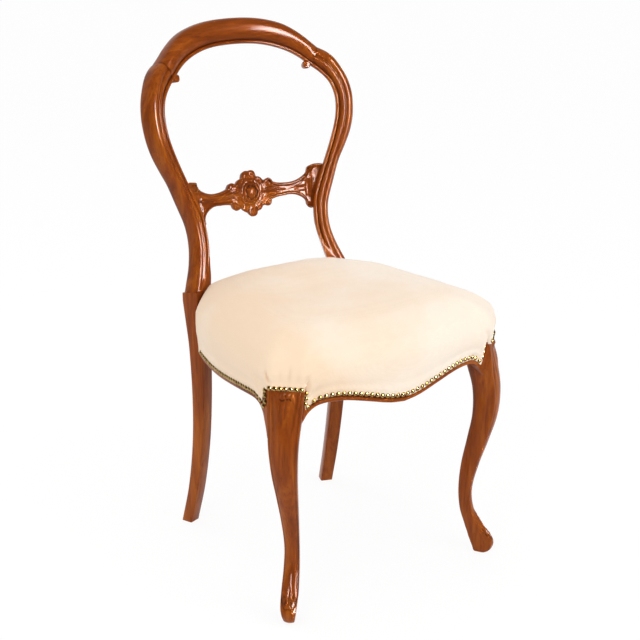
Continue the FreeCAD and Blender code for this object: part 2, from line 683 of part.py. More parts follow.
def seat_form(grow):
    """outside of the stuffed seat, moved in by a thickness"""
    skirt = skirt_plan()
    bulge = bulge_plan()

    def level(plan, z, out):
        half = [SEAT_CENTRE + (p - SEAT_CENTRE) * (1 + (out + grow) / (p - SEAT_CENTRE).Length) for p in plan]
        return both_sides([V(p.x, p.y, z) for p in half])

    def dome(share, z):
        half = []
        for p in [SEAT_CENTRE + (p - SEAT_CENTRE) * share for p in bulge]:
            drop = max(0.0, p.x - 60) * max(0.0, p.y - 60) / BACK_CORNER_FALL
            half.append(V(p.x, p.y, z - drop))
        return both_sides(half)

    half_rise = [(p + q) * 0.5 for p, q in zip(skirt, bulge)]
    rings = [level(skirt, 336, 0), level(skirt, 412.5, 0), level(half_rise, 422, 2.0),
             level(bulge, BULGE_Z, 0), level(bulge, 449 + grow * 0.5, -4.5)]
    for share, rise in ((0.91, 0.52), (0.76, 0.82), (0.52, 0.96), (0.22, 1.0)):
        rings.append(dome(share, 449 + (CROWN_Z + grow - 449) * rise))
    return stacked(rings)


def post_rooms():
    """room that the upholstery leaves round both posts, at the square block and at the moulding"""
    across, back = back_leg_frame()

    def room(corner, width, depth, direction):
        return prism([corner, corner + across * width, corner + across * width + back * depth,
                      corner + back * depth], direction)

    left = [room(V(166.4, 147.6, 320), 41.5, 44, V(0, 0, 134)),
            room(V(168, 148.5, 446), 43, 44, V(-16, 12, 50))]
    return left + [mirrored(one) for one in left]


def cover_openings():
    """what is cut away from the cover below its nailed edge"""
    front = Part.makeBox(500, 120, 100, V(-250, -270, 320)).cut(
        front_outline(FRONT_STRIP + 0.4, 430, -100))
    keep = Part.makeBox(2 * FRONT_RAIL_END + 9, 200, 120, V(-FRONT_RAIL_END - 4.5, -300, 310))
    front = front.common(keep)
    leg = Part.makeBox(90, 110, LEG_BLOCK_TOP + 0.4 - 310, V(FRONT_RAIL_END + 4.4, -258, 310))
    side = Part.makeBox(200, 330, 100, V(100, -150, 310)).cut(side_outline(SIDE_STRIP + 0.4, 430))
    back = Part.makeBox(400, 80, BACK_RAIL_BOTTOM + 8 - 310, V(-200, 150, 310))
    return [front, leg, mirrored(leg), side, mirrored(side), back]


def seat_cover():
    """cloth over the stuffing, down over the rails to the nails"""
    shell = seat_form(0).cut(seat_form(-COVER_THICKNESS))
    shell = shell.cut(cover_openings() + post_rooms())
    return max(shell.Solids, key=lambda solid: solid.Volume)


def seat_stuffing():
    """hair and wadding between the canvas and the cover"""
    low = RAIL_TOP + CANVAS_THICKNESS
    slab = Part.makeBox(600, 600, 100, V(-300, -300, low))
    form = seat_form(-COVER_THICKNESS - CLEARANCE).common(slab)
    form = form.cut(post_rooms())
    return max(form.Solids, key=lambda solid: solid.Volume)


def nail(point, out):
    """low six-sided head, flat side against the cloth"""
    side = UP.cross(out).normalize()
    up = out.cross(side)
    point = point + out * 0.1
    turns = [math.radians(60 * k) for k in range(6)]
    rim = [point + side * (NAIL_RADIUS * math.cos(t)) + up * (NAIL_RADIUS * math.sin(t)) for t in turns]
    faces = [Part.Face(closed_polygon(rim))]
    faces += [Part.Face(closed_polygon([rim[i - 1], rim[i], point + out * NAIL_HEIGHT])) for i in range(6)]
    return Part.Solid(Part.Shell(faces))


def edge_height(edge, at):
    """height of a lower edge at a distance, read between its points"""
    for (a, za), (b, zb) in zip(edge, edge[1:]):
        if a <= at <= b:
            return za + (zb - za) * (at - a) / (b - a)
    return edge[-1][1]


def front_nails():
    off = COVER_THICKNESS + CLEARANCE
    nails = []
    count = 33
    for i in range(count):
        x = -165.0 + 330.0 * i / (count - 1)
        slope = 2 * FRONT_RAIL_BOW * x / FRONT_RAIL_END ** 2
        out = V(slope, -1, 0).normalize()
        z = edge_height(FRONT_EDGE, abs(x)) + FRONT_NAIL_RISE
        nails.append(nail(V(x, front_face_y(x) - off, z), out))
    return nails


def left_nails():
    off = COVER_THICKNESS + CLEARANCE
    nails = []
    length = side_length()
    count = 27
    for i in range(count):
        s = 15 + (length - 35) * i / (count - 1)
        point = side_point(s, off, 0)
        ahead = side_point(s + 1, off, 0) - point
        out = V(ahead.y, -ahead.x, 0).normalize()
        point.z = edge_height(SIDE_EDGE, point.y) + SIDE_NAIL_RISE
        nails.append(nail(point, out))
    return nails


def left_leg_nails():
    """row across the top of the left front leg and short rows down beside it"""
    z, face, shift, width, depth = FRONT_LEG[-1]
    off = COVER_THICKNESS + CLEARANCE
    diagonal = leg_point(1, 0, 0) - leg_point(0, 0, 0)
    nails = []
    for i in range(5):
        across = (i - 2) * (width - 10) / 4
        bulge = 1.5 * (1 - abs(across) / (width / 2 - 1))
        nails.append(nail(leg_point(face + 0.3 + bulge, shift + across, LEG_BLOCK_TOP + 5.6), diagonal))
    for z in (383.0, 394.5, 406.0):
        nails.append(nail(V(172.0, front_face_y(172.0) - off - 0.6, z), V(0.2, -1, 0).normalize()))
        nails.append(nail(side_point(7.5, off + 0.6, z), V(1, 0.1, 0).normalize()))
    return nails


def back_nails():
    y = BACK_RAIL_Y + RAIL_THICKNESS + COVER_THICKNESS + CLEARANCE
    count = 19
    places = [-108 + 216.0 * i / (count - 1) for i in range(count)]
    return [nail(V(x, y, BACK_RAIL_BOTTOM + 14), V(0, 1, 0)) for x in places]


def write(name, shapes):
    """one STEP file for a node, moved to the model's origin"""
    shapes = shapes if isinstance(shapes, list) else [shapes]
    shape = shapes[0] if len(shapes) == 1 else Part.makeCompound(shapes)
    shape = shape.copy()
    shape.translate(V(0, ORIGIN_SHIFT, 0))
    shape.exportStep("parts/" + name + ".step")


def write_pair(name, shapes):
    """the left piece and its mirror image on the right"""
    shapes = shapes if isinstance(shapes, list) else [shapes]
    write("left_" + name, shapes)
    write("right_" + name, [mirrored(shape) for shape in shapes])


def main():
    os.makedirs("parts", exist_ok=True)
    post = left_post_blank()
    posts = [post, mirrored(post)]
    dowels = left_crest_dowels()
    tenon = left_splat_tenon()
    screws = left_block_screws()
    splat = splat_blank().cut(posts)
    splat = max(splat.Solids, key=lambda solid: solid.Volume).fuse([tenon, mirrored(tenon)])
    crest = crest_blank().cut(dowels + [mirrored(dowel) for dowel in dowels])
    leg = front_leg_blank()

    write_pair("back_post", post.cut(dowels + [tenon, back_tenon(1), side_tenons()[1]]))
    write("crest_rail", crest)
    write("crest_dowels", dowels + [mirrored(dowel) for dowel in dowels])
    write("splat_rail", splat)
    write("front_seat_rail", front_rail_blank().cut([screws[0], mirrored(screws[0])]))
    write_pair("seat_rail", side_rail_blank(post).cut([screws[1], screws[3]]))
    write("back_seat_rail", back_rail_blank(posts).cut([screws[2], mirrored(screws[2])]))
    write_pair("front_leg", leg.cut([front_tenon(1), side_tenons()[0]]))
    write_pair("front_corner_block", front_corner_block().cut(screws[:2]))
    write_pair("back_corner_block", back_corner_block().cut(screws[2:]))
    write("corner_block_screws", screws + [mirrored(one) for one in screws])
    write("webbing_front_to_back", webs_front_to_back())
    write("webbing_side_to_side", webs_side_to_side())
    write("seat_springs", spring_set())
    write("spring_canvas", spring_canvas())
    write("seat_stuffing", seat_stuffing())
    write("seat_cover", seat_cover())
    write("bottom_cloth", bottom_cloth())
    write("front_cover_nails", front_nails())
    write_pair("cover_nails", left_nails())
    write_pair("leg_top_nails", left_leg_nails())
    write("back_cover_nails", back_nails())


main()
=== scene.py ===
import bpy
import math
import numpy as np
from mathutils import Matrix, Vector


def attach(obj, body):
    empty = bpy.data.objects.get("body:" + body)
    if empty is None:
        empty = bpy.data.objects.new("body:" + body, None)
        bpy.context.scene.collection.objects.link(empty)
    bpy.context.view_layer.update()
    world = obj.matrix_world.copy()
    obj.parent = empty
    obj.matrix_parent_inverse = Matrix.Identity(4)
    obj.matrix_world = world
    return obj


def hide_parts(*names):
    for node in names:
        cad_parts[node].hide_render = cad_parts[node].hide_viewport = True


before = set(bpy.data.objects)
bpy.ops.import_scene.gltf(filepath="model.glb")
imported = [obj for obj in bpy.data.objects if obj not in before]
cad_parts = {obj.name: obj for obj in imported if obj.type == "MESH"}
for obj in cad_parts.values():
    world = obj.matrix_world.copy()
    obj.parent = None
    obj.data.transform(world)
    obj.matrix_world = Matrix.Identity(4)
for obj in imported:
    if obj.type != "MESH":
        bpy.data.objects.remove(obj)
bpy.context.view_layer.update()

# Balloon back chair. Lengths below are millimetres with the seat's own middle at y = 0,
# toFrame() turns them into metres and puts them on the frame's origin.
shiftY = -41.8


def toFrame(p):
    return Vector((p[0] / 1000, (p[1] + shiftY) / 1000, p[2] / 1000))


# small maths
def blend(a, b, t):
    return a + (b - a) * t


def ease(low, high, value):
    t = min(1.0, max(0.0, (value - low) / (high - low)))
    return t * t * (3 - 2 * t)


def smoothRow(rows, t):
    # Catmull-Rom between rows of numbers, t counts rows
    i = min(len(rows) - 2, max(0, int(t)))
    u = t - i
    p1, p2 = rows[i], rows[i + 1]
    p0 = rows[i - 1] if i > 0 else [2 * a - b for a, b in zip(p1, p2)]
    p3 = rows[i + 2] if i + 2 < len(rows) else [2 * b - a for a, b in zip(p1, p2)]
    out = []
    for a, b, c, d in zip(p0, p1, p2, p3):
        out.append(0.5 * (2 * b + (c - a) * u + (2 * a - 5 * b + 4 * c - d) * u * u
                          + (3 * b - a - 3 * c + d) * u ** 3))
    return out


def alongRows(rows, count):
    return [smoothRow(rows, (len(rows) - 1) * k / (count - 1)) for k in range(count)]


def valueAt(points, x):
    # height of a line of points at x, straight between them
    for (a, za), (b, zb) in zip(points, points[1:]):
        if a <= x <= b:
            return za + (zb - za) * (x - a) / (b - a)
    return points[0][1] if x < points[0][0] else points[-1][1]


def curveAt(points, x):
    # the same, but smooth
    for i in range(len(points) - 1):
        if points[i][0] <= x <= points[i + 1][0]:
            low, high = i, i + 1.0
            for step in range(24):
                mid = (low + high) / 2
                if smoothRow(points, mid)[0] < x:
                    low = mid
                else:
                    high = mid
            return smoothRow(points, (low + high) / 2)[1]
    return points[0][1] if x < points[0][0] else points[-1][1]


# small Blender helpers
def deselect():
    if bpy.context.object and bpy.context.object.mode != "OBJECT":
        bpy.ops.object.mode_set(mode="OBJECT")
    bpy.ops.object.select_all(action="DESELECT")


def only(obj):
    deselect()
    obj.select_set(True)
    bpy.context.view_layer.objects.active = obj


def applyModifier(obj, kind, **settings):
    only(obj)
    modifier = obj.modifiers.new(kind.title(), kind)
    for key, value in settings.items():
        setattr(modifier, key, value)
    bpy.ops.object.modifier_apply(modifier=modifier.name)


def smooth(obj, degrees=38):
    only(obj)
    bpy.ops.object.shade_smooth_by_angle(angle=math.radians(degrees))


def joinAll(objs, name):
    deselect()
    for o in objs:
        o.select_set(True)
    bpy.context.view_layer.objects.active = objs[0]
    if len(objs) > 1:
        bpy.ops.object.join()
    obj = bpy.context.view_layer.objects.active
    obj.name = name
    obj.data.name = name
    return obj


def copyOf(obj, name):
    only(obj)
    bpy.ops.object.duplicate()
    new = bpy.context.view_layer.objects.active
    new.name = name
    new.data.name = name
    return new


def mirrorOf(obj, name):
    new = copyOf(obj, name)
    only(new)
    new.scale = (-1, 1, 1)
    bpy.ops.object.transform_apply(location=True, rotation=True, scale=True)
    bpy.ops.object.mode_set(mode="EDIT")
    bpy.ops.mesh.select_all(action="SELECT")
    bpy.ops.mesh.normals_make_consistent(inside=False)
    bpy.ops.object.mode_set(mode="OBJECT")
    return new


def wrapped(name, rings, shades=None, closed=True, capped=True, level=0):
    # a grid wrapped round a row of rings, its seam merged and its ends filled
    deselect()
    around = len(rings[0])
    bpy.ops.mesh.primitive_grid_add(x_subdivisions=around if closed else around - 1,
                                    y_subdivisions=len(rings) - 1, size=1)
    obj = bpy.context.object
    obj.name = name
    obj.data.name = name
    mesh = obj.data
    columns = around + 1 if closed else around
    coordinates = np.empty((len(rings) * columns, 3), dtype=np.float32)
    values = np.zeros(len(rings) * columns, dtype=np.float32)
    for j, ring in enumerate(rings):
        for i in range(columns):
            coordinates[j * columns + i] = toFrame(ring[i % around])
            if shades:
                values[j * columns + i] = shades[j][i % around]
    mesh.vertices.foreach_set("co", coordinates.ravel())
    # the recess values darken the colour, mostly as painted shade in grooves, creases and joints and along
    # edges
    attribute = mesh.attributes.new("recess", "FLOAT", "POINT")
    attribute.data.foreach_set("value", values)
    mesh.update()
    bpy.ops.object.mode_set(mode="EDIT")
    bpy.ops.mesh.select_all(action="SELECT")
    if closed:
        bpy.ops.mesh.remove_doubles(threshold=0.000004)
    if capped:
        bpy.ops.mesh.fill_holes(sides=0)
        bpy.ops.mesh.select_all(action="SELECT")
        bpy.ops.mesh.normals_make_consistent(inside=False)
    bpy.ops.object.mode_set(mode="OBJECT")
    if level:
        applyModifier(obj, "SUBSURF", levels=level, render_levels=level)
    return obj


def finished(obj, material, nodes, degrees=38):
    obj.data.materials.clear()
    obj.data.materials.append(material)
    smooth(obj, degrees)
    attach(obj, "root")
    if nodes:
        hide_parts(*nodes)
    return obj


def walnutPair(left, rightName, look, leftNode, rightNode):
    # the right piece mirrors the left one
    right = mirrorOf(left, rightName)
    finished(left, look, [leftNode])
    finished(right, look, [rightNode])


def chisel(line, width, rise, dark=0.0, fade=0.0):
    return {"line": line, "width": width, "rise": rise, "dark": dark, "fade": fade}


def strokeField(px, pz, stroke):
    # rounded ridge (or groove) along a line of points drawn on a face
    points = stroke["line"]
    best = np.full(px.shape, 1e9)
    taper = np.ones(px.shape)
    count = len(points) - 1
    for i in range(count):
        (ax, az), (bx, bz) = points[i], points[i + 1]
        dx, dz = bx - ax, bz - az
        t = np.clip(((px - ax) * dx + (pz - az) * dz) / (dx * dx + dz * dz), 0, 1)
        d = np.hypot(px - ax - t * dx, pz - az - t * dz)
        near = d < best
        best = np.where(near, d, best)
        along = (i + t) / count
        fade = stroke["fade"]
        ends = np.clip(np.minimum(along, 1 - along) / fade, 0, 1) if fade else 1.0
        taper = np.where(near, ends, taper)
    shape = np.clip(1 - (best / stroke["width"]) ** 2, 0, 1) ** 1.5
    return shape * taper


def carve(height, dark, px, pz, strokes):
    for stroke in strokes:
        shape = strokeField(px, pz, stroke)
        height += stroke["rise"] * shape
        dark += stroke["dark"] * shape


# materials
def nodeKit(name):
    material = bpy.data.materials.new(name)
    material.use_nodes = True
    tree = material.node_tree
    tree.nodes.clear()
    out = tree.nodes.new("ShaderNodeOutputMaterial")
    shader = tree.nodes.new("ShaderNodeBsdfPrincipled")
    tree.links.new(shader.outputs["BSDF"], out.inputs["Surface"])
    return material, tree, shader, addNode(tree, "ShaderNodeTexCoord").outputs["Object"]


def addNode(tree, kind, inputs=None, **settings):
    node = tree.nodes.new(kind)
    for key, value in settings.items():
        setattr(node, key, value)
    for key, value in (inputs or {}).items():
        if isinstance(value, bpy.types.NodeSocket):
            tree.links.new(value, node.inputs[key])
        else:
            node.inputs[key].default_value = value
    return node


def colourOf(hexText):
    parts = [int(hexText[i:i + 2], 16) / 255 for i in (0, 2, 4)]
    return tuple(c / 12.92 if c <= 0.04045 else ((c + 0.055) / 1.055) ** 2.4 for c in parts) + (1.0,)


def ramp(tree, factor, stops):
    node = addNode(tree, "ShaderNodeValToRGB", {"Fac": factor})
    elements = node.color_ramp.elements
    while len(elements) < len(stops):
        elements.new(0.5)
    for element, (place, colour) in zip(elements, stops):
        element.position = place
        element.color = colourOf(colour) if isinstance(colour, str) else (colour, colour, colour, 1)
    return node.outputs["Color"]


def mixColour(tree, factor, a, b, way="MIX"):
    node = tree.nodes.new("ShaderNodeMix")
    node.data_type = "RGBA"
    node.blend_type = way
    for socket, value in ((node.inputs[0], factor), (node.inputs[6], a), (node.inputs[7], b)):
        if isinstance(value, bpy.types.NodeSocket):
            tree.links.new(value, socket)
        else:
            socket.default_value = value
    return node.outputs[2]


def noise(tree, vector, scale, detail=4.0, rough=0.55, distortion=0.0):
    return addNode(tree, "ShaderNodeTexNoise",
                   {"Vector": vector, "Scale": scale, "Detail": detail, "Roughness": rough,
                    "Distortion": distortion}).outputs["Fac"]


def mapping(tree, vector, scale, turn=(0, 0, 0), move=(0, 0, 0)):
    return addNode(tree, "ShaderNodeMapping",
                   {"Vector": vector, "Scale": scale, "Rotation": turn, "Location": move}).outputs["Vector"]


def maths(tree, way, a, b=0.0):
    return addNode(tree, "ShaderNodeMath", {0: a, 1: b}, operation=way).outputs[0]


def times(tree, a, b):
    return maths(tree, "MULTIPLY", a, b)


def surfaced(tree, shader, colour, height, strength, distance):
    # colour and small relief, which every finish has
    bumped = addNode(tree, "ShaderNodeBump", {"Height": height, "Strength": strength, "Distance": distance})
    tree.links.new(colour, shader.inputs["Base Color"])
    tree.links.new(bumped.outputs["Normal"], shader.inputs["Normal"])


# line is the colour of the painted shade in grooves, at joints and along arrises
woodLook = {"dark": "57240a", "middle": "89400d", "light": "b3621a", "line": "1d0903",
            "rough": 0.40, "coat": 0.6, "coatRough": 0.12}


def walnut(name, grain, tilt=0.0, seed=0.0):
    # polished wood: bands and pores run along one axis of the piece
    material, tree, shader, place = nodeKit(name)
    long = {"x": (1.6, 17, 17), "y": (17, 1.6, 17), "z": (17, 17, 1.6)}[grain]
    fine = {"x": (18, 420, 420), "y": (420, 18, 420), "z": (420, 420, 18)}[grain]
    turned = mapping(tree, place, (1, 1, 1), (tilt, 0, 0), (seed, seed * 0.7, seed * 1.3))
    banded = mapping(tree, turned, long)
    waver = noise(tree, banded, 1.5, 3.0, 0.5)
    bands = noise(tree, mapping(tree, turned, tuple(v * 1.9 for v in long)), 2.0, 6.0, 0.62, 0.9)
    figure = maths(tree, "ADD", times(tree, waver, 0.45), times(tree, bands, 0.6))
    colour = ramp(tree, figure, [(0.27, woodLook["dark"]), (0.50, woodLook["middle"]),
                                 (0.76, woodLook["light"])])
    streaks = noise(tree, mapping(tree, turned, tuple(v * 9 for v in long)), 1.0, 4.0, 0.6)
    colour = mixColour(tree, times(tree, ramp(tree, streaks, [(0.48, 0.0), (0.72, 1.0)]), 0.28),
                       colour, colourOf("6a2a08"))
    pores = ramp(tree, noise(tree, mapping(tree, place, fine), 1.0, 2.0, 0.5), [(0.56, 0.0), (0.68, 1.0)])
    colour = mixColour(tree, times(tree, pores, 0.28), colour, colourOf("3a1506"))
    # painted shade: the recess attribute darkens grooves, joints and arrises towards the line colour
    recess = addNode(tree, "ShaderNodeAttribute", attribute_name="recess").outputs["Fac"]
    colour = mixColour(tree, times(tree, recess, 0.8), colour, colourOf(woodLook["line"]))
    wear = noise(tree, place, 38.0, 5.0, 0.6)
    rough = addNode(tree, "ShaderNodeMapRange", {"Value": wear, "To Min": woodLook["rough"] - 0.05,
                                                "To Max": woodLook["rough"] + 0.10}).outputs["Result"]
    relief = maths(tree, "ADD", times(tree, pores, -0.6), times(tree, wear, 0.5))
    surfaced(tree, shader, colour, relief, 0.10, 0.0006)
    tree.links.new(rough, shader.inputs["Roughness"])
    shader.inputs["Coat Weight"].default_value = woodLook["coat"]
    shader.inputs["Coat Roughness"].default_value = woodLook["coatRough"]
    shader.inputs["Coat IOR"].default_value = 1.26   # a wax finish, dull towards its edges
    shader.inputs["IOR"].default_value = 1.2
    shader.inputs["Specular IOR Level"].default_value = 0.3
    return material


coverLook = {"pale": "f7e9d9", "warm": "f2d8bb", "thread": 1700.0, "rough": 0.86}


def wovenCloth(name, pale, warm, thread, rough, sheen=0.25, relief=0.18, patches=7.0, fade=0.0):
    # plain weave from two crossed waves, with soft patches of tone
    material, tree, shader, place = nodeKit(name)
    loose = noise(tree, place, 260.0, 2.0, 0.5)
    shifted = addNode(tree, "ShaderNodeVectorMath", {0: place, 1: (1, 1, 1)}, operation="MULTIPLY_ADD")
    offset = addNode(tree, "ShaderNodeCombineXYZ", {"X": times(tree, loose, 0.0005),
                                                   "Y": times(tree, loose, 0.0004),
                                                   "Z": times(tree, loose, 0.0005)})
    tree.links.new(offset.outputs[0], shifted.inputs[2])
    warp, weft, rise = [
        addNode(tree, "ShaderNodeTexWave", {"Vector": shifted.outputs[0], "Scale": thread / 6.283},
                wave_type="BANDS", bands_direction=way).outputs["Fac"] for way in "XYZ"]
    weave = times(tree, maths(tree, "ADD", maths(tree, "ADD", warp, weft), rise), 0.333)
    tone = noise(tree, place, patches, 3.0, 0.5)
    sideways = addNode(tree, "ShaderNodeSeparateXYZ", {0: place}).outputs["X"]
    paintedSideShade = addNode(tree, "ShaderNodeMapRange", {"Value": sideways, "From Min": -0.22, "From Max": 0.16,
                                                 "To Min": fade, "To Max": -fade}).outputs["Result"]
    tone = maths(tree, "ADD", tone, paintedSideShade)   # warmer and darker away from the lit side: painted shade
    colour = mixColour(tree, ramp(tree, tone, [(0.3, 0.0), (0.72, 1.0)]), colourOf(pale), colourOf(warm))
    slub = noise(tree, mapping(tree, place, (60, 900, 900)), 1.0, 2.0, 0.5)
    colour = mixColour(tree, times(tree, ramp(tree, slub, [(0.5, 0.0), (0.8, 1.0)]), 0.10),
                       colour, colourOf("cdb796"))
    colour = mixColour(tree, times(tree, maths(tree, "SUBTRACT", 1.0, weave), 0.10),
                       colour, colourOf("b79c78"))
    recess = addNode(tree, "ShaderNodeAttribute", attribute_name="recess").outputs["Fac"]
    # painted shade in the folds of the cover, from the recess attribute
    colour = mixColour(tree, times(tree, recess, 0.6), colour, colourOf("c08a5c"))
    height = maths(tree, "ADD", weave, times(tree, slub, 0.4))
    surfaced(tree, shader, colour, height, relief, 0.0005)
    shader.inputs["Roughness"].default_value = rough
    shader.inputs["Sheen Weight"].default_value = sheen
    shader.inputs["Sheen Roughness"].default_value = 0.5
    shader.inputs["Specular IOR Level"].default_value = 0.25
    return material


def antiqueBrass(name):
    material, tree, shader, place = nodeKit(name)
    patina = noise(tree, place, 240.0, 4.0, 0.6)
    colour = ramp(tree, patina, [(0.26, "54401c"), (0.46, "9c7c42"), (0.75, "cdb078")])
    rough = addNode(tree, "ShaderNodeMapRange", {"Value": patina, "To Min": 0.26, "To Max": 0.14})
    scratches = noise(tree, mapping(tree, place, (300, 1500, 1500)), 1.0, 2.0, 0.5)
    surfaced(tree, shader, colour, scratches, 0.08, 0.0003)
    tree.links.new(rough.outputs["Result"], shader.inputs["Roughness"])
    shader.inputs["Metallic"].default_value = 1.0
    return material


def plainMetal(name, dark, light, rough):
    material, tree, shader, place = nodeKit(name)
    spots = noise(tree, place, 180.0, 5.0, 0.6)
    tree.links.new(ramp(tree, spots, [(0.35, dark), (0.65, light)]), shader.inputs["Base Color"])
    worn = addNode(tree, "ShaderNodeMapRange", {"Value": spots, "To Min": rough - 0.08,
                                                "To Max": rough + 0.1})
    tree.links.new(worn.outputs["Result"], shader.inputs["Roughness"])
    bumped = addNode(tree, "ShaderNodeBump", {"Height": spots, "Strength": 0.15, "Distance": 0.0003})
    tree.links.new(bumped.outputs["Normal"], shader.inputs["Normal"])
    shader.inputs["Metallic"].default_value = 1.0
    return material


def rawBeech(name):
    material, tree, shader, place = nodeKit(name)
    bands = noise(tree, mapping(tree, place, (3, 30, 30)), 2.0, 5.0, 0.6, 0.6)
    flecks = ramp(tree, noise(tree, mapping(tree, place, (60, 500, 500)), 1.0, 2.0, 0.5),
                  [(0.58, 0.0), (0.7, 1.0)])
    colour = ramp(tree, bands, [(0.32, "a9794a"), (0.66, "d0a473")])
    colour = mixColour(tree, times(tree, flecks, 0.4), colour, colourOf("7d5430"))
    surfaced(tree, shader, colour, flecks, 0.12, 0.0004)
    shader.inputs["Roughness"].default_value = 0.62
    return material


def hairFelt(name):
    material, tree, shader, place = nodeKit(name)
    tangle = noise(tree, place, 320.0, 6.0, 0.7, 2.5)
    clumps = noise(tree, place, 24.0, 4.0, 0.6)
    colour = mixColour(tree, clumps, ramp(tree, tangle, [(0.35, "6b5138"), (0.65, "b4926a")]),
                       colourOf("8d7050"))
    surfaced(tree, shader, colour, tangle, 0.6, 0.001)
    shader.inputs["Roughness"].default_value = 0.95
    return material


walnutUp = walnut("walnut upright", "z")
walnutAcross = walnut("walnut across", "x", seed=0.37)
walnutSide = walnut("walnut side", "y", seed=0.71)
# fade sets the strength of the painted shade on the cover's side away from the lamps
coverCloth = wovenCloth("seat fabric", coverLook["pale"], coverLook["warm"], coverLook["thread"],
                        coverLook["rough"], fade=0.24)
brassLook = antiqueBrass("antique brass")
print("materials ready")

# the back: one leaning sheet, hollow in plan
back = {"y": 185.7, "level": 450.0, "lean": 0.2255, "radius": 410.0}


def planSag(x):
    return back["radius"] - math.sqrt(back["radius"] ** 2 - x * x)


def backPoint(x, z):
    return Vector((x, back["y"] + back["lean"] * (z - back["level"]) - planSag(x), z))


def backNormal(x):
    slope = x / math.sqrt(back["radius"] ** 2 - x * x)
    return Vector((-slope, -1, back["lean"])).normalized()


# across the moulding: share of the width, depth, how much painted shade lies there
postRoll = [(0.27, 5.2, 0.45), (0.31, 3.4, 0.05), (0.37, 2.0, 0), (0.43, 1.7, 0), (0.485, 2.4, 0),
            (0.53, 3.7, 0.3), (0.57, 4.1, 0.5), (0.615, 3.2, 0.15), (0.68, 2.3, 0), (0.75, 2.3, 0),
            (0.82, 3.3, 0), (0.88, 5.0, 0), (0.935, 7.6, 0.05), (0.975, 11.0, 0.1), (0.997, 14.8, 0.15)]
crestRoll = [(0.20, 5.4, 0.3), (0.27, 3.7, 0.1), (0.35, 2.2, 0), (0.44, 1.0, 0), (0.53, 0.2, 0),
             (0.62, 0.0, 0), (0.71, 0.5, 0), (0.79, 1.7, 0), (0.86, 3.5, 0), (0.92, 5.9, 0.05),
             (0.965, 8.6, 0.1), (0.99, 11.0, 0.2)]


def mouldedRing(front, rear, thickness, roll, stop=None, dip=0.0):
    # one section across the moulded frame, from the opening outwards; front and rear are pairs of
    # points on the inner and outer line, stop is where the flat foot gives way to the moulding
    a, b = backPoint(*front[0]), backPoint(*front[1])
    rearA, rearB = backPoint(*rear[0]), backPoint(*rear[1])
    width = (b - a).length
    facing = backNormal((front[0][0] + front[1][0]) / 2)
    across = (b - a).normalized()
    facing = (facing - across * facing.dot(across)).normalized()
    # the third number is painted shade: dark in the quirk beside the bead and along the arrises
    profile = [(0.0, 12.5, 0.3), (0.0, 9.0, 0.1)]
    for k in range(9):
        t = math.radians(180 - 22.5 * k)
        profile.append((2.8 * (1 + math.cos(t)), 6 - 2.8 * math.sin(t), 0.0 if 0 < k < 8 else 0.2))
    profile += [(6.1, 6.9, 0.75), (6.7, 7.5, 0.9), (7.4, 6.8, 0.6)]
    profile += [(share * width, depth, dark) for share, depth, dark in roll]
    profile += [(width, 18.0, 0.2), (width - 0.1, thickness * 0.72, 0.25),
                (width - 0.7, thickness - 4.0, 0.35),
                (width - 2.2, thickness - 1.2, 0.45), (width - 4.5, thickness, 0.2),
                (width * 0.6, thickness, 0), (8.0, thickness, 0), (6.2, thickness - 0.8, 0.1),
                (4.5, thickness - 3.8, 0), (2.2, thickness * 0.62, 0)]
    ring, shade = [], []
    for s, depth, dark in profile:
        if stop is not None and depth < 15:
            plane = blend(3.4, 0.6, ease(0.0, 0.5, stop / width)) + 1.5 * max(0.0, s - stop)
            dark = 0.0 if plane < depth else dark
            depth = min(depth, plane)
        if depth < 15:
            depth += dip * ease(0.15, 0.9, s / width)
        late = ease(8, thickness, depth)
        start, end = a.lerp(rearA, late), b.lerp(rearB, late)
        ring.append(start + (end - start) * (s / width) - facing * depth)
        shade.append(dark)
    return ring, shade


posts = {"inner": [(130, 447), (123.5, 470), (118, 495), (113.2, 520), (112, 540), (113.2, 560), (117, 583),
                   (130.3, 616), (145.3, 650), (156.5, 677), (166.5, 705), (172, 727), (174, 748),
                   (172.6, 764), (168, 779), (161.5, 789.5), (154, 798), (147, 804.5), (140.5, 809.5)],
         "outer": [(163.9, 452), (157.0, 470), (146.8, 497), (141.0, 520), (139.2, 540), (140.4, 559),
                   (144.5, 577), (156, 608.5), (168, 641), (181.5, 668), (193, 694), (200.6, 722),
                   (203.5, 752), (202.3, 771), (198.5, 789), (190.5, 808.5), (181.3, 824.5), (169.5, 836),
                   (156, 843)],
         "thick": 30.5, "shoulder": 33.5, "stations": 150, "late": 0.55, "slope": 5.0}
sabre = [(0, 160.4, 203.8, 22.6, 22.0), (80, 157.6, 181.1, 24.8, 21.2), (170, 156.3, 163.2, 25.5, 22.7),
         (260, 157.4, 152.6, 26.2, 25.4), (350, 159.8, 149.6, 29.2, 28.2), (400, 162.1, 150.8, 32.6, 30.7),
         (440, 164.2, 152.4, 35.4, 32.7)]
turn = math.radians(21)
legAcross = Vector((-math.cos(turn), math.sin(turn), 0))
legBack = Vector((math.sin(turn), math.cos(turn), 0))


def squareRing(x, y, z, width, depth, cut=2.0):
    # square section with eased corners
    corners = [(cut, 0), (cut * 0.3, cut * 0.3), (0, cut), (0, depth - cut), (cut * 0.3, depth - cut * 0.3),
               (cut, depth), (width - cut, depth), (width - cut * 0.3, depth - cut * 0.3),
               (width, depth - cut), (width, cut), (width - cut * 0.3, cut * 0.3), (width - cut, 0)]
    base = Vector((x, y, z))
    # painted shade along each eased corner
    dark = [0.0, 0.25, 0.0] * 4
    return [base + legAcross * u + legBack * v for u, v in corners], dark


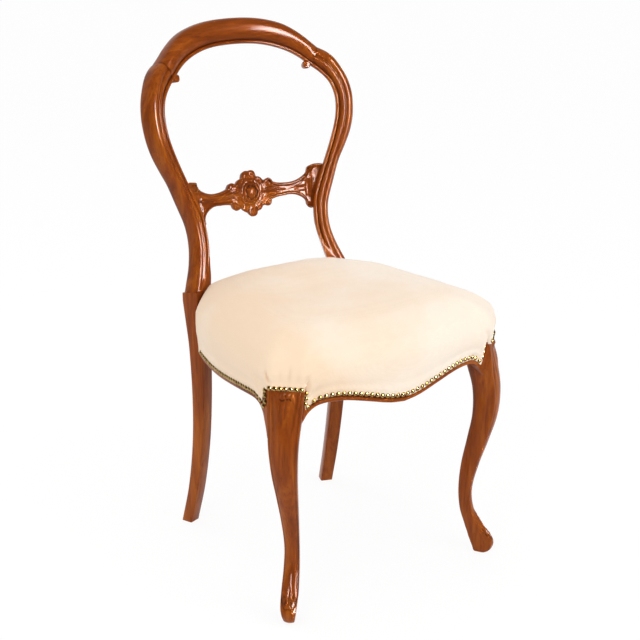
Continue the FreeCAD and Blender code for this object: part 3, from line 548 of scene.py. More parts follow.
def leftPost():
    rings, shades = [], []
    for z, x, y, width, depth in alongRows(sabre, 60):
        ring, dark = squareRing(x, y, z, width, depth)
        rings.append(ring)
        shades.append(dark)
    # the square ends in a ledge, its back slopes into the upright
    z, x, y, width, depth = sabre[-1]
    for k in range(6):
        t = (k + 1) / 6
        ring, dark = squareRing(x, y, z + 14 * t, width, depth)
        rings.append([q + Vector((0, 0, posts["slope"] * t * max(0.0, 1 - (q - ring[0]).dot(legBack) / 33)))
                      for q in ring])
        shades.append(dark)
    leg = wrapped("leg", rings, shades)
    rings, shades = [], []
    count = posts["stations"]
    last = len(posts["inner"]) - 1
    for k in range(count):
        t = last * k / (count - 1)
        front = smoothRow(posts["inner"], t), smoothRow(posts["outer"], t)
        z = (front[0][1] + front[1][1]) / 2
        late = posts["late"] * ease(720, 835, z)
        rear = smoothRow(posts["inner"], t - late), smoothRow(posts["outer"], t - late)
        thickness = posts["thick"] + (posts["shoulder"] - posts["thick"]) * ease(640, 750, z)
        thickness += 2.0 * (1 - ease(456, 500, z))
        width = math.dist(*front)
        stop = blend(0.66, -0.15, ease(457, 530, z) ** 0.8) * width if z < 530 else None
        ring, dark = mouldedRing(front, rear, thickness, postRoll, stop, 3.2 * ease(812, 826, z))
        rings.append(ring)
        # painted shade on the last rings, where the post runs under the crest
        shades.append([min(1.0, d + 0.7 * ease(last - 0.16, last, t)) for d in dark])
    upright = wrapped("upright", rings, shades)
    return joinAll([upright, leg], "left_post_carved")


walnutPair(leftPost(), "right_post_carved", walnutUp, "left_back_post", "right_back_post")
print("posts carved")

crest = {"inner": [(0, 856), (24, 855.4), (48, 853.3), (70, 849), (90, 842.7), (106, 835.5), (119, 827.5),
                   (131, 818), (140.5, 809.5)],
         "outer": [(0, 901), (27, 900.3), (52, 898), (76, 893.5), (99, 886.2), (117, 876.4), (134, 863.5),
                   (146, 852), (156, 843)],
         "thick": 25.0, "ends": 35.0, "volute": (132.6, 811.5), "setBack": 2.5, "late": 0.55, "stations": 61}


def crestPiece():
    count = crest["stations"]
    last = len(crest["inner"]) - 1
    half = []
    for k in range(count):
        t = last * k / (count - 1)
        front = smoothRow(crest["inner"], t), smoothRow(crest["outer"], t)
        late = crest["late"] * ease(95, 150, front[1][0])
        half.append((front, (smoothRow(crest["inner"], t + late), smoothRow(crest["outer"], t + late))))
    flipped = [tuple(tuple((-x, z) for x, z in pair) for pair in both) for both in reversed(half[1:])]
    rings, shades = [], []
    for front, rear in flipped + half:
        reach = abs(front[0][0])
        thickness = crest["thick"] + (crest["ends"] - crest["thick"]) * (reach / 140.5) ** 2
        ring, dark = mouldedRing(front, rear, thickness, crestRoll, None, 3.2 * ease(130, 142, reach))
        rings.append(ring)
        # painted shade on the ends, where the crest meets the posts
        shades.append([min(1.0, d + 0.5 * ease(138, 141, reach)) for d in dark])
    rail = wrapped("crest", rings, shades)
    parts = [rail]
    for side in (1, -1):
        x, z = crest["volute"]
        front = backNormal(side * x)
        centre = backPoint(side * x, z)
        # the bead curls into a small knob
        path = []
        for k in range(26):
            share = k / 25
            angle = math.radians(150 - 400 * share)
            radius = blend(6.0, 0.8, share)
            path.append((x + radius * math.cos(angle), z - 0.4 + radius * math.sin(angle),
                         blend(2.6, 2.0, share), 1.2 + 2.4 * share))
        tube = []
        for k, (px, pz, thick, rise) in enumerate(path):
            ahead = path[min(k + 1, 25)]
            behind = path[max(k - 1, 0)]
            heading = backPoint(side * ahead[0], ahead[1]) - backPoint(side * behind[0], behind[1])
            outward = heading.normalized().cross(front).normalized()
            middle = backPoint(side * px, pz) + front * (rise - 6.5 - crest["setBack"])
            tube.append([middle + outward * (thick * math.cos(t)) + front * (thick * 1.5 * math.sin(t))
                         for t in [2 * math.pi * n / 10 for n in range(10)]])
        parts.append(wrapped("curl", tube, [[0.0] * 10] * 26))
        bpy.ops.mesh.primitive_cylinder_add(vertices=28, radius=0.0062, depth=0.018,
                                            location=toFrame(centre - front * 12.5),
                                            rotation=front.to_track_quat("Z", "Y").to_euler())
        core = bpy.context.object
        only(core)
        bpy.ops.object.transform_apply(location=True, rotation=True, scale=True)
        core.data.attributes.new("recess", "FLOAT", "POINT")
        applyModifier(core, "BEVEL", width=0.0012, segments=3, limit_method="ANGLE")
        parts.append(core)
    return joinAll(parts, "crest_carved")


finished(crestPiece(), walnutAcross, ["crest_rail"])
print("crest carved")

# the splat: a carved cartouche on waisted arms
splat = {"z": 600.5, "recess": 12.0, "thick": 11.0, "end": 141.0,
         "top": [(0, 37.5), (14, 26), (25, 21.5), (30, 18), (46, 13.5), (66, 9.5), (108, 22), (110, 33),
                 (140, 35)],
         "topRise": [6.0, 1.6, -0.8, 5.4, -1.0, -4.6, -1.6, 4.0],
         "low": [(0, -42.5), (9.5, -34), (20, -28), (25.5, -26), (40, -17.5), (67, -13.5), (101, -23.5),
                 (108, -37), (140, -36)],
         "lowRise": [3.0, 2.0, -0.8, 6.0, -1.0, -4.5, -2.5, 4.0], "columns": 380, "rows": 46}


def scalloped(points, rises, sign):
    # chain of arcs as a dense line of points
    line = []
    for (ax, az), (bx, bz), rise in zip(points, points[1:], rises):
        chord = math.hypot(bx - ax, bz - az)
        nx, nz = -(bz - az) / chord * sign, (bx - ax) / chord * sign
        for k in range(16):
            t = k / 16
            lift = rise * 4 * t * (1 - t)
            line.append((ax + (bx - ax) * t + nx * lift, az + (bz - az) * t + nz * lift))
    line.append(points[-1])
    return line


def edgeLine(line):
    # keeps the line single valued in x
    out = [line[0]]
    for x, z in line[1:]:
        if x > out[-1][0] + 0.01:
            out.append((x, z))
    return out


def hidden(x, z):
    # the ends follow the slope of the posts and stop inside them
    limit = valueAt([(-45, 119), (-20, 124), (0, 130), (40, 149)], z)
    if abs(x) <= 100:
        return x
    return math.copysign(100 + (abs(x) - 100) * (limit - 100) / 41, x)


# carved lines of one half of the splat, the other half mirrors them
# the dark values paint shade in the cuts
splatCarving = [
    chisel([(1, 34.5), (6, 33), (10.5, 28), (12, 23)], 2.8, 1.2, fade=0.2),
    chisel([(13.5, 25), (10.5, 20), (6, 18.5)], 1.7, -1.2, dark=0.45, fade=0.25),
    chisel([(15.5, 22.5), (21, 19), (24.5, 15)], 2.4, 1.0, fade=0.25),
    chisel([(27.5, 19.5), (24, 13), (19, 9)], 1.7, -1.3, dark=0.55, fade=0.25),
    chisel([(32, 18.5), (37, 20), (43, 15.5), (42, 10.5), (37, 11)], 2.5, 1.5, fade=0.1),
    chisel([(38.5, 15.2), (40, 13.8)], 1.6, -1.2, dark=0.8),
    chisel([(21, -1), (28, 0.5), (36, 2.5), (47, 1.5), (58, -1.5), (70, -2.5)], 2.6, 2.0, fade=0.2),
    chisel([(24, 5), (34, 7.5), (46, 5.5), (58, 1.5)], 1.8, 1.2, fade=0.25),
    chisel([(24, -8), (34, -7.5), (46, -7), (58, -5.5)], 2.0, 1.3, fade=0.25),
    chisel([(27, 3), (40, 4.6), (54, 1)], 1.0, -1.1, dark=0.6, fade=0.25),
    chisel([(27, -4.5), (40, -3), (54, -4)], 1.0, -1.1, dark=0.6, fade=0.25),
    chisel([(25, -23), (31, -21), (37, -14.5), (45, -11.5)], 2.8, 1.7, fade=0.15),
    chisel([(21, -26), (17, -20), (12.5, -16.5)], 1.7, -1.3, dark=0.55, fade=0.25),
    chisel([(9.5, -32.5), (7, -27), (3, -24.5)], 1.7, -1.2, dark=0.45, fade=0.25),
    chisel([(104, 24), (106, 33), (113, 36), (119, 33), (118, 27.5), (113, 26)], 3.0, 3.2, fade=0.1),
    chisel([(113, 30.5), (114.5, 30)], 2.2, -2.2, dark=0.9),
    chisel([(102, 17), (110, 20), (120, 21)], 2.2, -1.6, dark=0.5, fade=0.2),
    chisel([(112, 12), (114, -4), (112, -20)], 7.0, -2.4, fade=0.2),
    chisel([(122, 18), (124, -2), (122, -26)], 2.6, 1.8, fade=0.2),
    chisel([(104, -31), (108, -37.5), (115, -38), (118, -33.5), (113.5, -30.5)], 2.5, 2.0, fade=0.1),
    chisel([(111.5, -34), (113, -34.2)], 1.7, -1.3, dark=0.8),
    chisel([(70, -2.5), (84, 1), (98, 7), (110, 17)], 2.4, 0.9, fade=0.3),
    chisel([(84, -4), (100, -4), (118, -2)], 6.0, -1.6, fade=0.35),
]


def splatPiece():
    topLine = edgeLine(scalloped(splat["top"], splat["topRise"], 1))
    lowLine = edgeLine(scalloped(splat["low"], splat["lowRise"], -1))
    columns, rows = splat["columns"], splat["rows"]
    xs = np.linspace(-splat["end"], splat["end"], columns)
    tops = np.array([valueAt(topLine, abs(x)) for x in xs])
    lows = np.array([valueAt(lowLine, abs(x)) for x in xs])
    shares = 0.5 - 0.5 * np.cos(np.linspace(0, math.pi, rows))
    gridX = np.repeat(xs[None, :], rows, axis=0)
    gridZ = lows[None, :] + (tops - lows)[None, :] * shares[:, None]
    field = np.abs(gridX)
    edge = np.full(gridX.shape, 1e9)
    for line in (topLine, lowLine):
        for (ax, az), (bx, bz) in zip(line, line[1:]):
            dx, dz = bx - ax, bz - az
            t = np.clip(((field - ax) * dx + (gridZ - az) * dz) / (dx * dx + dz * dz + 1e-9), 0, 1)
            edge = np.minimum(edge, np.hypot(field - ax - t * dx, gridZ - az - t * dz))
    radius = 3.4
    near = np.clip(edge, 0, radius)
    height = -(radius - np.sqrt(np.maximum(0, radius ** 2 - (radius - near) ** 2)))   # rounded outline
    # painted shade along the outline
    dark = np.clip(1 - edge / 1.2, 0, 1) * 0.25
    # hollow of the arms between their rims
    arm = np.clip((field - 30) / 12, 0, 1) * np.clip((edge - 3.4) / 3.2, 0, 1)
    arm = arm * arm * (3 - 2 * arm)
    height -= 3.0 * arm
    # painted shade in the hollow of the arms, beside the rims
    dark += 0.35 * np.clip(1 - np.abs(edge - 4.6) / 1.6, 0, 1) * np.clip((field - 30) / 10, 0, 1)
    # cartouche: dish round the boss, ring and boss
    r = np.hypot(gridX, gridZ)
    dish = np.clip(1 - ((r - 19.5) / 5.5) ** 2, 0, 1)
    height -= 1.7 * dish
    # painted shade in the groove round the ring and in the groove round the boss
    dark += 0.45 * np.clip(1 - ((r - 18.3) / 1.8) ** 2, 0, 1)
    height += 2.4 * np.clip(1 - ((r - 14.6) / 2.6) ** 2, 0, 1) ** 0.7
    dark += 0.95 * np.clip(1 - ((r - 11.3) / 1.5) ** 2, 0, 1)
    oval = np.hypot(gridX / 9.6, gridZ / 10.6)
    height += 6.4 * np.sqrt(np.clip(1 - oval ** 2, 0, 1))
    height -= 1.2 * np.clip(1 - ((oval - 1.12) / 0.16) ** 2, 0, 1)
    for m in (1, -1):
        height += 2.4 * np.clip(1 - (np.hypot(gridX - 20.5 * m, gridZ + 3.5) / 2.5) ** 2, 0, 1) ** 0.6
    for m in (1, -1):
        half = [dict(stroke, line=[(x * m, z) for x, z in stroke["line"]]) for stroke in splatCarving]
        carve(height, dark, gridX, gridZ, half)
    rng = np.random.default_rng(11)
    height += 0.02 * rng.standard_normal(height.shape) * (edge > 2)   # tool marks
    dark = np.clip(dark + 0.12, 0, 1)   # the front of the carving is darkened a little all over
    # front rows, then the plain back rows, make one closed loop for every column
    rings, shades = [], []
    for c in range(columns):
        x = float(xs[c])
        front = backNormal(x)
        ring, shade = [], []
        for row in range(rows):
            p = backPoint(hidden(x, float(gridZ[row, c])), splat["z"] + float(gridZ[row, c]))
            ring.append(p - front * (splat["recess"] - float(height[row, c])))
            shade.append(float(dark[row, c]))
        for row in range(rows - 1, -1, -6):
            level = blend(float(gridZ[row, c]), float(gridZ[rows // 2, c]), 0.06)
            p = backPoint(hidden(x, level), splat["z"] + level)
            bevel = 1.2 if row in (rows - 1, (rows - 1) % 6) else 0.0
            ring.append(p - front * (splat["recess"] + splat["thick"] - bevel))
            shade.append(0.1)
        rings.append(ring)
        shades.append(shade)
    return wrapped("splat_carved", rings, shades)


finished(splatPiece(), walnutAcross, ["splat_rail"], 50)
print("splat carved")

# seat rails with their show strips
rails = {"top": 415.0, "thick": 24.0, "frontEnd": 178.0, "frontY": -192.0, "frontBow": 22.0,
         "sideFront": (223.0, -150.0), "sideBack": (163.5, 150.0), "sideBow": 8.0,
         "proud": 2.4, "frontStrip": 7.0, "sideStrip": 5.0,
         "frontEdge": [(0, 343), (30, 347.2), (72, 358.5), (108, 367), (135, 369.5), (156, 367.6),
                       (169, 361), (178, 352)],
         "sideEdge": [(-150, 352), (-141, 360), (-126, 366), (-108, 367), (-60, 362), (30, 351.5),
                      (95, 348.5), (165, 350)]}


def frontFaceY(x):
    return rails["frontY"] - rails["frontBow"] * (1 - (x / rails["frontEnd"]) ** 2)


def sidePoint(s, off, z):
    start = Vector((rails["sideFront"][0], rails["sideFront"][1], 0))
    along = Vector((rails["sideBack"][0], rails["sideBack"][1], 0)) - start
    length = along.length
    along.normalize()
    out = Vector((along.y, -along.x, 0))
    bow = rails["sideBow"] * 4 * (s / length) * (1 - s / length)
    return start + along * s + out * (bow + off) + Vector((0, 0, z))


sideLength = math.hypot(rails["sideFront"][0] - rails["sideBack"][0],
                        rails["sideFront"][1] - rails["sideBack"][1])


def railProfile(low, strip, proud, ledge):
    # going round from the top of the outer face: distance outwards, height, darkness (painted shade under the
    # cloth's edge, on the top of the strip and along its lower edge)
    top = rails["top"]
    shape = [(0, top - 1, 0), (0, blend(top, low, 0.4), 0), (0, low + strip + 1.0, 0.6),
             (proud * 0.45, low + strip + 0.2, 0.9), (proud * 0.86, low + strip - 0.6, 0.2),
             (proud, low + strip * 0.62, 0), (proud, low + strip * 0.36, 0), (proud * 0.86, low + 0.9, 0),
             (proud * 0.4, low + 0.15, 0.3), (-1.5, low, 0.2)]
    inner = -rails["thick"]
    if ledge:
        shape += [(-11.5, low, 0), (-12, low + 0.6, 0), (-12, 369.2, 0), (-12.6, 370, 0),
                  (inner + 0.6, 370, 0), (inner, 370.6, 0), (inner, top - 1, 0), (inner + 1, top, 0),
                  (-1, top, 0)]
    else:
        shape += [(-11.5, low, 0), (-12, low, 0), (-14, low, 0), (-16, low, 0), (inner + 1, low, 0),
                  (inner, low + 1, 0), (inner, top - 1, 0), (inner + 1, top, 0), (-1, top, 0)]
    return shape


def frontRail():
    rings, shades = [], []
    end = rails["frontEnd"]
    xs = [-end + 2 * end * k / 120 for k in range(121)]
    for x in xs:
        low = curveAt(rails["frontEdge"], abs(x))
        ring, shade = [], []
        for off, z, dark in railProfile(low, rails["frontStrip"], rails["proud"], abs(x) < 160):
            ring.append(Vector((x, frontFaceY(x) - off, z)))
            shade.append(dark)
        rings.append(ring)
        shades.append(shade)
    return wrapped("front_rail_shaped", rings, shades)


def leftSideRail():
    rings, shades = [], []
    for k in range(111):
        s = sideLength * k / 110
        y = sidePoint(s, 0, 0).y
        low = curveAt(rails["sideEdge"], y)
        ring, shade = [], []
        for off, z, dark in railProfile(low, rails["sideStrip"], rails["proud"], 14 < s < sideLength - 8):
            ring.append(sidePoint(s, off, z))
            shade.append(dark)
        rings.append(ring)
        shades.append(shade)
    return wrapped("left_side_rail_shaped", rings, shades)


finished(frontRail(), walnutAcross, ["front_seat_rail"])
walnutPair(leftSideRail(), "right_side_rail_shaped", walnutSide, "left_seat_rail", "right_seat_rail")
print("rails shaped")

# front legs: cabriole, on the diagonal of each corner
legRows = [(0, 284.0, 12.5, 14, 20), (3, 290.5, 12.6, 16.8, 28.5), (7, 294.5, 12.5, 18.5, 33.5),
           (17, 297.8, 13.0, 22.5, 40.5), (28, 294.0, 13.8, 26, 41), (46, 279.0, 14.3, 28, 32),
           (80, 261.0, 14.5, 26, 24.5), (118, 256.6, 14.3, 24.5, 24), (165, 266.5, 15.2, 28, 31),
           (215, 282.5, 16.8, 34, 38), (262, 295.5, 18.8, 41, 43.5), (310, 298.2, 20.0, 47.5, 48),
           (357, 291.0, 18.5, 54, 53), (402.5, 280.0, 17.0, 59, 52)]


def legPoint(out, across, z):
    return Vector(((out + across) / math.sqrt(2), (across - out) / math.sqrt(2), z))


# the dark values paint shade in the cuts
legCarving = [
    chisel([(-5.4, 394), (-5.0, 390.5)], 4.2, 3.0),
    chisel([(3.4, 393.5), (4.2, 390)], 4.4, 3.2),
    chisel([(-0.9, 398), (-0.9, 388.5)], 1.3, -0.8, dark=0.7, fade=0.15),
    chisel([(-10.5, 384), (-8.2, 387), (-4.5, 387.2), (-1.5, 384.8)], 1.7, -1.6, dark=0.95, fade=0.12),
    chisel([(-0.5, 387), (2.5, 384.2), (6.5, 384), (9.6, 386.5)], 1.7, -1.6, dark=0.95, fade=0.12),
    chisel([(-11.5, 397), (-12.3, 390), (-11, 384.5)], 2.2, 1.2, fade=0.2),
    chisel([(10.5, 397), (11.8, 390), (10.6, 385)], 2.2, 1.2, fade=0.2),
    chisel([(-6.4, 383), (-6.2, 372), (-5.2, 352)], 3.8, 1.0, fade=0.35),
    chisel([(2.6, 382), (2.8, 370), (2.6, 345)], 3.8, 1.2, fade=0.35),
    chisel([(10.4, 384), (10.8, 370), (9.6, 350)], 3.2, 0.9, fade=0.35),
    chisel([(-1.8, 382), (-1.6, 370), (-1.2, 354)], 1.8, -0.7, dark=0.25, fade=0.35),
    chisel([(6.8, 382), (7.0, 370), (6.2, 352)], 1.8, -0.7, dark=0.25, fade=0.35),
    chisel([(-18, 397), (-19, 380), (-16, 350), (-13, 320)], 3.4, -1.0, dark=0.35, fade=0.25),
    chisel([(18.5, 397), (19.5, 380), (17, 350), (14, 320)], 3.4, -1.0, dark=0.35, fade=0.25),
]
# the dark values paint shade in the cuts
toeCarving = [
    chisel([(0, 78), (0, 63)], 2.0, 1.6, fade=0.35),
    chisel([(0, 66), (-1.8, 57), (-3.0, 49), (-2.3, 40), (-3.6, 31.5)], 1.5, 1.4, fade=0.08),
    chisel([(0, 66), (1.8, 57), (3.0, 49), (2.3, 40), (3.6, 31.5)], 1.5, 1.4, fade=0.08),
    chisel([(0, 58), (0, 34)], 1.5, -0.9, dark=0.5, fade=0.25),
    chisel([(-11, 34), (-5, 27.5), (0, 29), (5, 27.5), (11, 34)], 1.5, -1.3, dark=0.6, fade=0.1),
]


legTop = 401.0
legEars = {"front": [(160, 367.0), (166, 363.8), (171, 359.6), (175.5, 354.2), (180, 347.6), (185, 341),
                     (189, 333.5), (191.5, 322)],
           "side": [(-128, 365.5), (-135, 361.5), (-141, 356), (-146, 348.5), (-150, 338.5), (-153.5, 327),
                    (-156.5, 314)]}


def earProfile(low):
    # inwards and up, from the ear's lower edge over its face to the rail
    return [(-0.6, low + 0.2), (-1.7, low + 1.0), (-2.1, low + 2.4), (-2.1, 367.5),
            (20, 367.5), (20, low + 3), (17, low)]


def leftFrontLeg():
    heights = []
    z = 0.0
    while z < legTop:
        heights.append(z)
        z += 1.2 if z < 30 or z > 335 else 4.0
    heights.append(legTop)
    faceCount = 49
    rings, shades = [], []
    for z in heights:
        t = 0.0
        for n in range(len(legRows) - 1):
            if legRows[n][0] <= z <= legRows[n + 1][0]:
                t = n + (z - legRows[n][0]) / (legRows[n + 1][0] - legRows[n][0])
        front, shift, width, depth = smoothRow(legRows, t)[1:]
        half = width / 2
        edge = front - blend(0.34 * half, 3.6, ease(335, 392, z))
        rear = half * 0.56
        fit = min(1.0, half / 29.5)
        face = half - 2.4 * fit
        ring, shade = [], []
        us = np.linspace(-1, 1, faceCount)
        flat = np.array([face * u for u in us])
        level = np.full(flat.shape, z)
        relief = np.zeros(flat.shape)
        dark = np.zeros(flat.shape)
        if z > 300:
            carve(relief, dark, flat / fit, level, legCarving)
        if z < 90:
            carve(relief, dark, flat, level, toeCarving)
            eye = np.hypot(np.abs(flat) - 7.6, (level - 38.2) * 0.9)   # small scroll eye on each side
            relief -= 1.2 * np.clip(1 - ((eye - 3.9) / 1.3) ** 2, 0, 1)
            # painted shade in the eye's ring
            dark += 0.95 * np.clip(1 - ((eye - 3.7) / 1.4) ** 2, 0, 1)
            relief += 1.3 * np.clip(1 - (eye / 2.5) ** 2, 0, 1) ** 0.5
        # fine groove beside each arris, with painted shade in it
        groove = np.clip(1 - ((np.abs(flat) - (face - 2.4 * fit)) / 1.3) ** 2, 0, 1) * ease(24, 60, z)
        relief -= 0.8 * groove
        dark += 0.4 * groove
        for k in range(faceCount):
            out = front - (front - edge) * us[k] ** 2 + relief[k]
            ring.append(legPoint(out, shift + flat[k], z))
            shade.append(float(min(1, dark[k])))
        # the third number of each side point is painted shade near the arris and the back corners
        side = [(edge - 0.7 * fit, half - 0.8 * fit, 0.15), (edge - 2.6 * fit, half, 0.1),
                (edge - 2.6 * fit - 0.22 * depth, half * 0.985, 0),
                (front - 0.55 * depth, blend(half, rear, 0.32), 0),
                (front - 0.75 * depth, blend(half, rear, 0.66), 0), (front - 0.9 * depth, rear, 0.05),
                (front - 0.975 * depth, rear * 0.8, 0.1), (front - depth, rear * 0.5, 0)]
        for out, across, d in side:
            ring.append(legPoint(out, shift + across, z))
            shade.append(d)
        for out, across, d in reversed(side):
            ring.append(legPoint(out, shift - across, z))
            shade.append(d)
        rings.append(ring)
        shades.append(shade)
    cabriole = wrapped("cabriole", rings, shades)
    # square head that takes both rails
    face = 280.0 - 3.2
    corners = [(178, -150), (178, -192), tuple(legPoint(face, 17 - 28.5, 0))[:2],
               tuple(legPoint(face, 17 + 28.5, 0))[:2], (223, -150)]
    head = []
    for z, grow in ((352, -0.6), (365, -0.6), (401, -0.6), (401.5, -1.2), (414.5, -1.5), (415, -2)):
        middle = Vector((200, -185, 0))
        head.append([Vector((x, y, z)) + (Vector((x, y, 0)) - middle).normalized() * grow
                     for x, y in corners])
    block = wrapped("block", head)
    # ears: the sweep from the leg into the lower edge of each rail
    parts = [cabriole, block]
    ear, shade = [], []
    for x, low in alongRows(legEars["front"], 26):
        y = frontFaceY(min(x, 178))
        ear.append([Vector((x, y + dy, z)) for dy, z in earProfile(low)])
        # painted shade along the ear's lower edge
        shade.append([0.25, 0.1, 0, 0, 0, 0, 0.1])
    parts.append(wrapped("front_ear", ear, shade))
    ear = []
    for y, low in alongRows(legEars["side"], 26):
        x = sidePoint(max(0.0, y + 150), 0, 0).x
        ear.append([Vector((x - dy, y, z)) for dy, z in earProfile(low)])
    parts.append(wrapped("side_ear", ear, shade))
    return joinAll(parts, "left_leg_carved")


walnutPair(leftFrontLeg(), "right_leg_carved", walnutUp, "left_front_leg", "right_front_leg")
print("front legs carved")

# the seat cover
cover = {"thick": 2.0, "gap": 0.6, "crown": 481.0, "bulge": 428.0, "out": 11.0, "middle": Vector((0, -15, 0)),
         "profile": [(0.0, 0.0), (0.13, 0.3), (0.3, 0.34), (0.45, 0.6), (0.62, 0.83), (0.8, 0.96),
                     (1.0, 1.0)],
         "dome": [(0.972, 0.40), (0.92, 0.625), (0.84, 0.81), (0.72, 0.93), (0.55, 0.985), (0.34, 1.0),
                  (0.16, 1.0)],
         "backRise": 7.0, "cornerFall": 900.0, "legTop": 398.2, "rounds": 6}


def skirtPlan():
    off = cover["thick"] + cover["gap"]
    half = [Vector((x, frontFaceY(x) - off, 0)) for x in (0, 50, 98, 142, 178)]
    half += [legPoint(280, -11.5, 0), legPoint(281.5, 17, 0), legPoint(280, 45.5, 0)]
    half += [sidePoint(share * sideLength, off, 0) for share in (0.02, 0.26, 0.5, 0.74, 0.93)]
    return half + [Vector((x, y, 0)) for x, y in ((158, 174), (142, 189.6), (70, 189.6), (0, 189.6))]


def bulgePlan():
    half = []
    for p in skirtPlan():
        out = (p - cover["middle"]).normalized()
        corner = max(0.0, p.x - 160) * max(0.0, -p.y - 130) / 900.0
        half.append(p + out * (cover["out"] * min(1.0, max(0.15, (165 - p.y) / 60.0)) - 2.8 * corner))
    for i in (4, 8):
        half[i] = (half[i - 1] + half[i + 1]) * 0.505
    return half


def fullLoop(half, rounds):
    # closed, smooth plan with the same number of points between the corners
    loop = half + [Vector((-p.x, p.y, p.z)) for p in reversed(half[1:-1])]
    count = len(loop)
    out = []
    for i in range(count):
        rows = [tuple(loop[(i + k) % count]) for k in (-1, 0, 1, 2)]
        for k in range(rounds):
            out.append(Vector(smoothRow(rows, 1 + k / rounds)))
    return out


def lowEdge(p):
    # where the cloth is nailed, by place on the plan
    x, y = abs(p.x), p.y
    if y > 172:
        return 358.5
    if y > -149.5:
        return curveAt(rails["sideEdge"], y) + rails["sideStrip"] + 0.8
    if x < 182.6:
        return curveAt(rails["frontEdge"], min(x, 178)) + rails["frontStrip"] + 0.8
    return cover["legTop"]


def coverColumn(skirtPoint, bulgePoint, low, inset):
    # from the nailed edge, over the roll, to the middle of the seat
    middle = cover["middle"]
    column = []
    for k in range(16):
        z = blend(low, cover["bulge"], k / 16)
        share = max(0.0, (z - low - 7) / (cover["bulge"] - low - 7))
        q = skirtPoint.lerp(bulgePoint, curveAt(cover["profile"], share))
        column.append(Vector((q.x, q.y, z)))
    top = cover["crown"] - inset
    points = [tuple(column[-2]), (bulgePoint.x, bulgePoint.y, cover["bulge"])]
    for share, rise in cover["dome"]:
        q = middle + (bulgePoint - middle) * share
        toBack = min(1.0, max(0.0, (q.y + 15) / 130)) * min(1.0, (1 - share) / 0.14, share / 0.3)
        drop = max(0.0, abs(q.x) - 60) * max(0.0, q.y - 60) / cover["cornerFall"]
        level = blend(cover["bulge"], top, rise) + cover["backRise"] * toBack
        points.append((q.x, q.y, level - drop))
    for n, parts in enumerate((2, 3, 4, 5, 6, 6, 6, 5), start=1):
        for k in range(parts):
            column.append(Vector(smoothRow(points, n + k / parts)))
    return column[:-4]


def seatForm(name, inset, floorLevels):
    # closed form of the stuffed seat, moved in by an inset
    middle = cover["middle"]
    skirt = [q - (q - middle).normalized() * inset for q in fullLoop(skirtPlan(), cover["rounds"])]
    bulge = [q - (q - middle).normalized() * inset for q in fullLoop(bulgePlan(), cover["rounds"])]
    lows = [lowEdge(q) if floorLevels is None else floorLevels for q in skirt]
    columns = [coverColumn(a, b, low, inset) for a, b, low in zip(skirt, bulge, lows)]
    rings = [[column[r] for column in columns] for r in range(len(columns[0]))]
    last = rings[-1]
    top = cover["crown"] - inset
    centre = Vector((0, middle.y, top))
    for share in (0.7, 0.4, 0.15, 0.0):
        rings.append([centre.lerp(Vector((q.x, q.y, blend(top, q.z, share))), share) for q in last])
    base = []
    for share in (0.0, 0.35, 0.7):
        base.append([Vector((q.x * share, blend(middle.y, q.y, share), q.z + 2)) for q in rings[0]])
    return wrapped(name, base + rings), len(base) * len(skirt)


def seatCover():
    obj, count = seatForm("seat_cover_cloth", 0.0, None)
    # the merged middle of the base counts once
    return obj, count - len(fullLoop(skirtPlan(), cover["rounds"])) + 1


puff = {"pressure": 4.0, "frames": 20, "cap": 0.005, "even": 14}


def blownUp(obj, lowRings):
    # a short cloth simulation fills the cover out between its nails
    before = [v.co.copy() for v in obj.data.vertices]
    normals = [v.normal.copy() for v in obj.data.vertices]
    pins = obj.vertex_groups.new(name="pins")
    for v in obj.data.vertices:
        low = lowEdge(Vector((v.co.x * 1000, v.co.y * 1000 - shiftY, 0))) / 1000
        weight = 1.0 if v.index < lowRings else 1.0 - ease(0.008, 0.03, v.co.z - low)
        pins.add([v.index], weight, "REPLACE")
    cloth = obj.modifiers.new("Cloth", "CLOTH")
    cloth.settings.vertex_group_mass = "pins"
    cloth.settings.use_pressure = True
    cloth.settings.uniform_pressure_force = puff["pressure"]
    cloth.settings.effector_weights.gravity = 0
    cloth.settings.tension_stiffness = 30
    cloth.settings.quality = 5
    cloth.point_cache.frame_start = 1
    cloth.point_cache.frame_end = puff["frames"]
    scene = bpy.context.scene
    for number in range(1, puff["frames"] + 1):
        scene.frame_set(number)
    only(obj)
    bpy.ops.object.modifier_apply(modifier=cloth.name)
    scene.frame_set(1)
    # only the swelling outwards is kept, evened out over the neighbours and capped
    count = len(before)
    swell = np.array([max(0.0, (v.co - old).dot(n)) for v, old, n in zip(obj.data.vertices, before, normals)])
    swell = np.minimum(swell, puff["cap"])
    edges = np.array([tuple(edge.vertices) for edge in obj.data.edges])
    pinned = np.array([v.index < lowRings for v in obj.data.vertices])
    for turn in range(puff["even"]):
        total = np.bincount(edges[:, 0], swell[edges[:, 1]], count)
        total += np.bincount(edges[:, 1], swell[edges[:, 0]], count)
        degree = np.bincount(edges.ravel(), minlength=count)
        swell = np.where(pinned, 0.0, total / np.maximum(degree, 1))
    for v, old, n, step in zip(obj.data.vertices, before, normals, swell):
        low = lowEdge(Vector((old.x * 1000, old.y * 1000 - shiftY, 0))) / 1000
        v.co = old + n * (float(step) * ease(0.006, 0.02, old.z - low))
    print("cover swelled by", round(float(swell.max()) * 1000, 1), "mm at most")


# the dark values of the creases are painted shade in their folds
creases = [  # across the leg corner and height, from the photograph's near corner
    chisel([(25, 411), (28, 420), (32, 434)], 3.0, -2.4, dark=0.75, fade=0.3),
    chisel([(21, 411), (23.5, 421), (27, 432)], 3.4, 1.2, fade=0.3),
    chisel([(-6, 411), (-7, 425), (-8.5, 442)], 3.4, -1.1, dark=0.25, fade=0.35),
    chisel([(-31, 411), (-34, 420), (-39, 431)], 4.5, -1.4, dark=0.2, fade=0.35),
    chisel([(8, 411), (8, 424), (7, 438)], 4.5, -0.7, dark=0.1, fade=0.35),
    chisel([(-19, 411), (-20, 422), (-22, 436)], 5, -0.7, dark=0.1, fade=0.35),
]


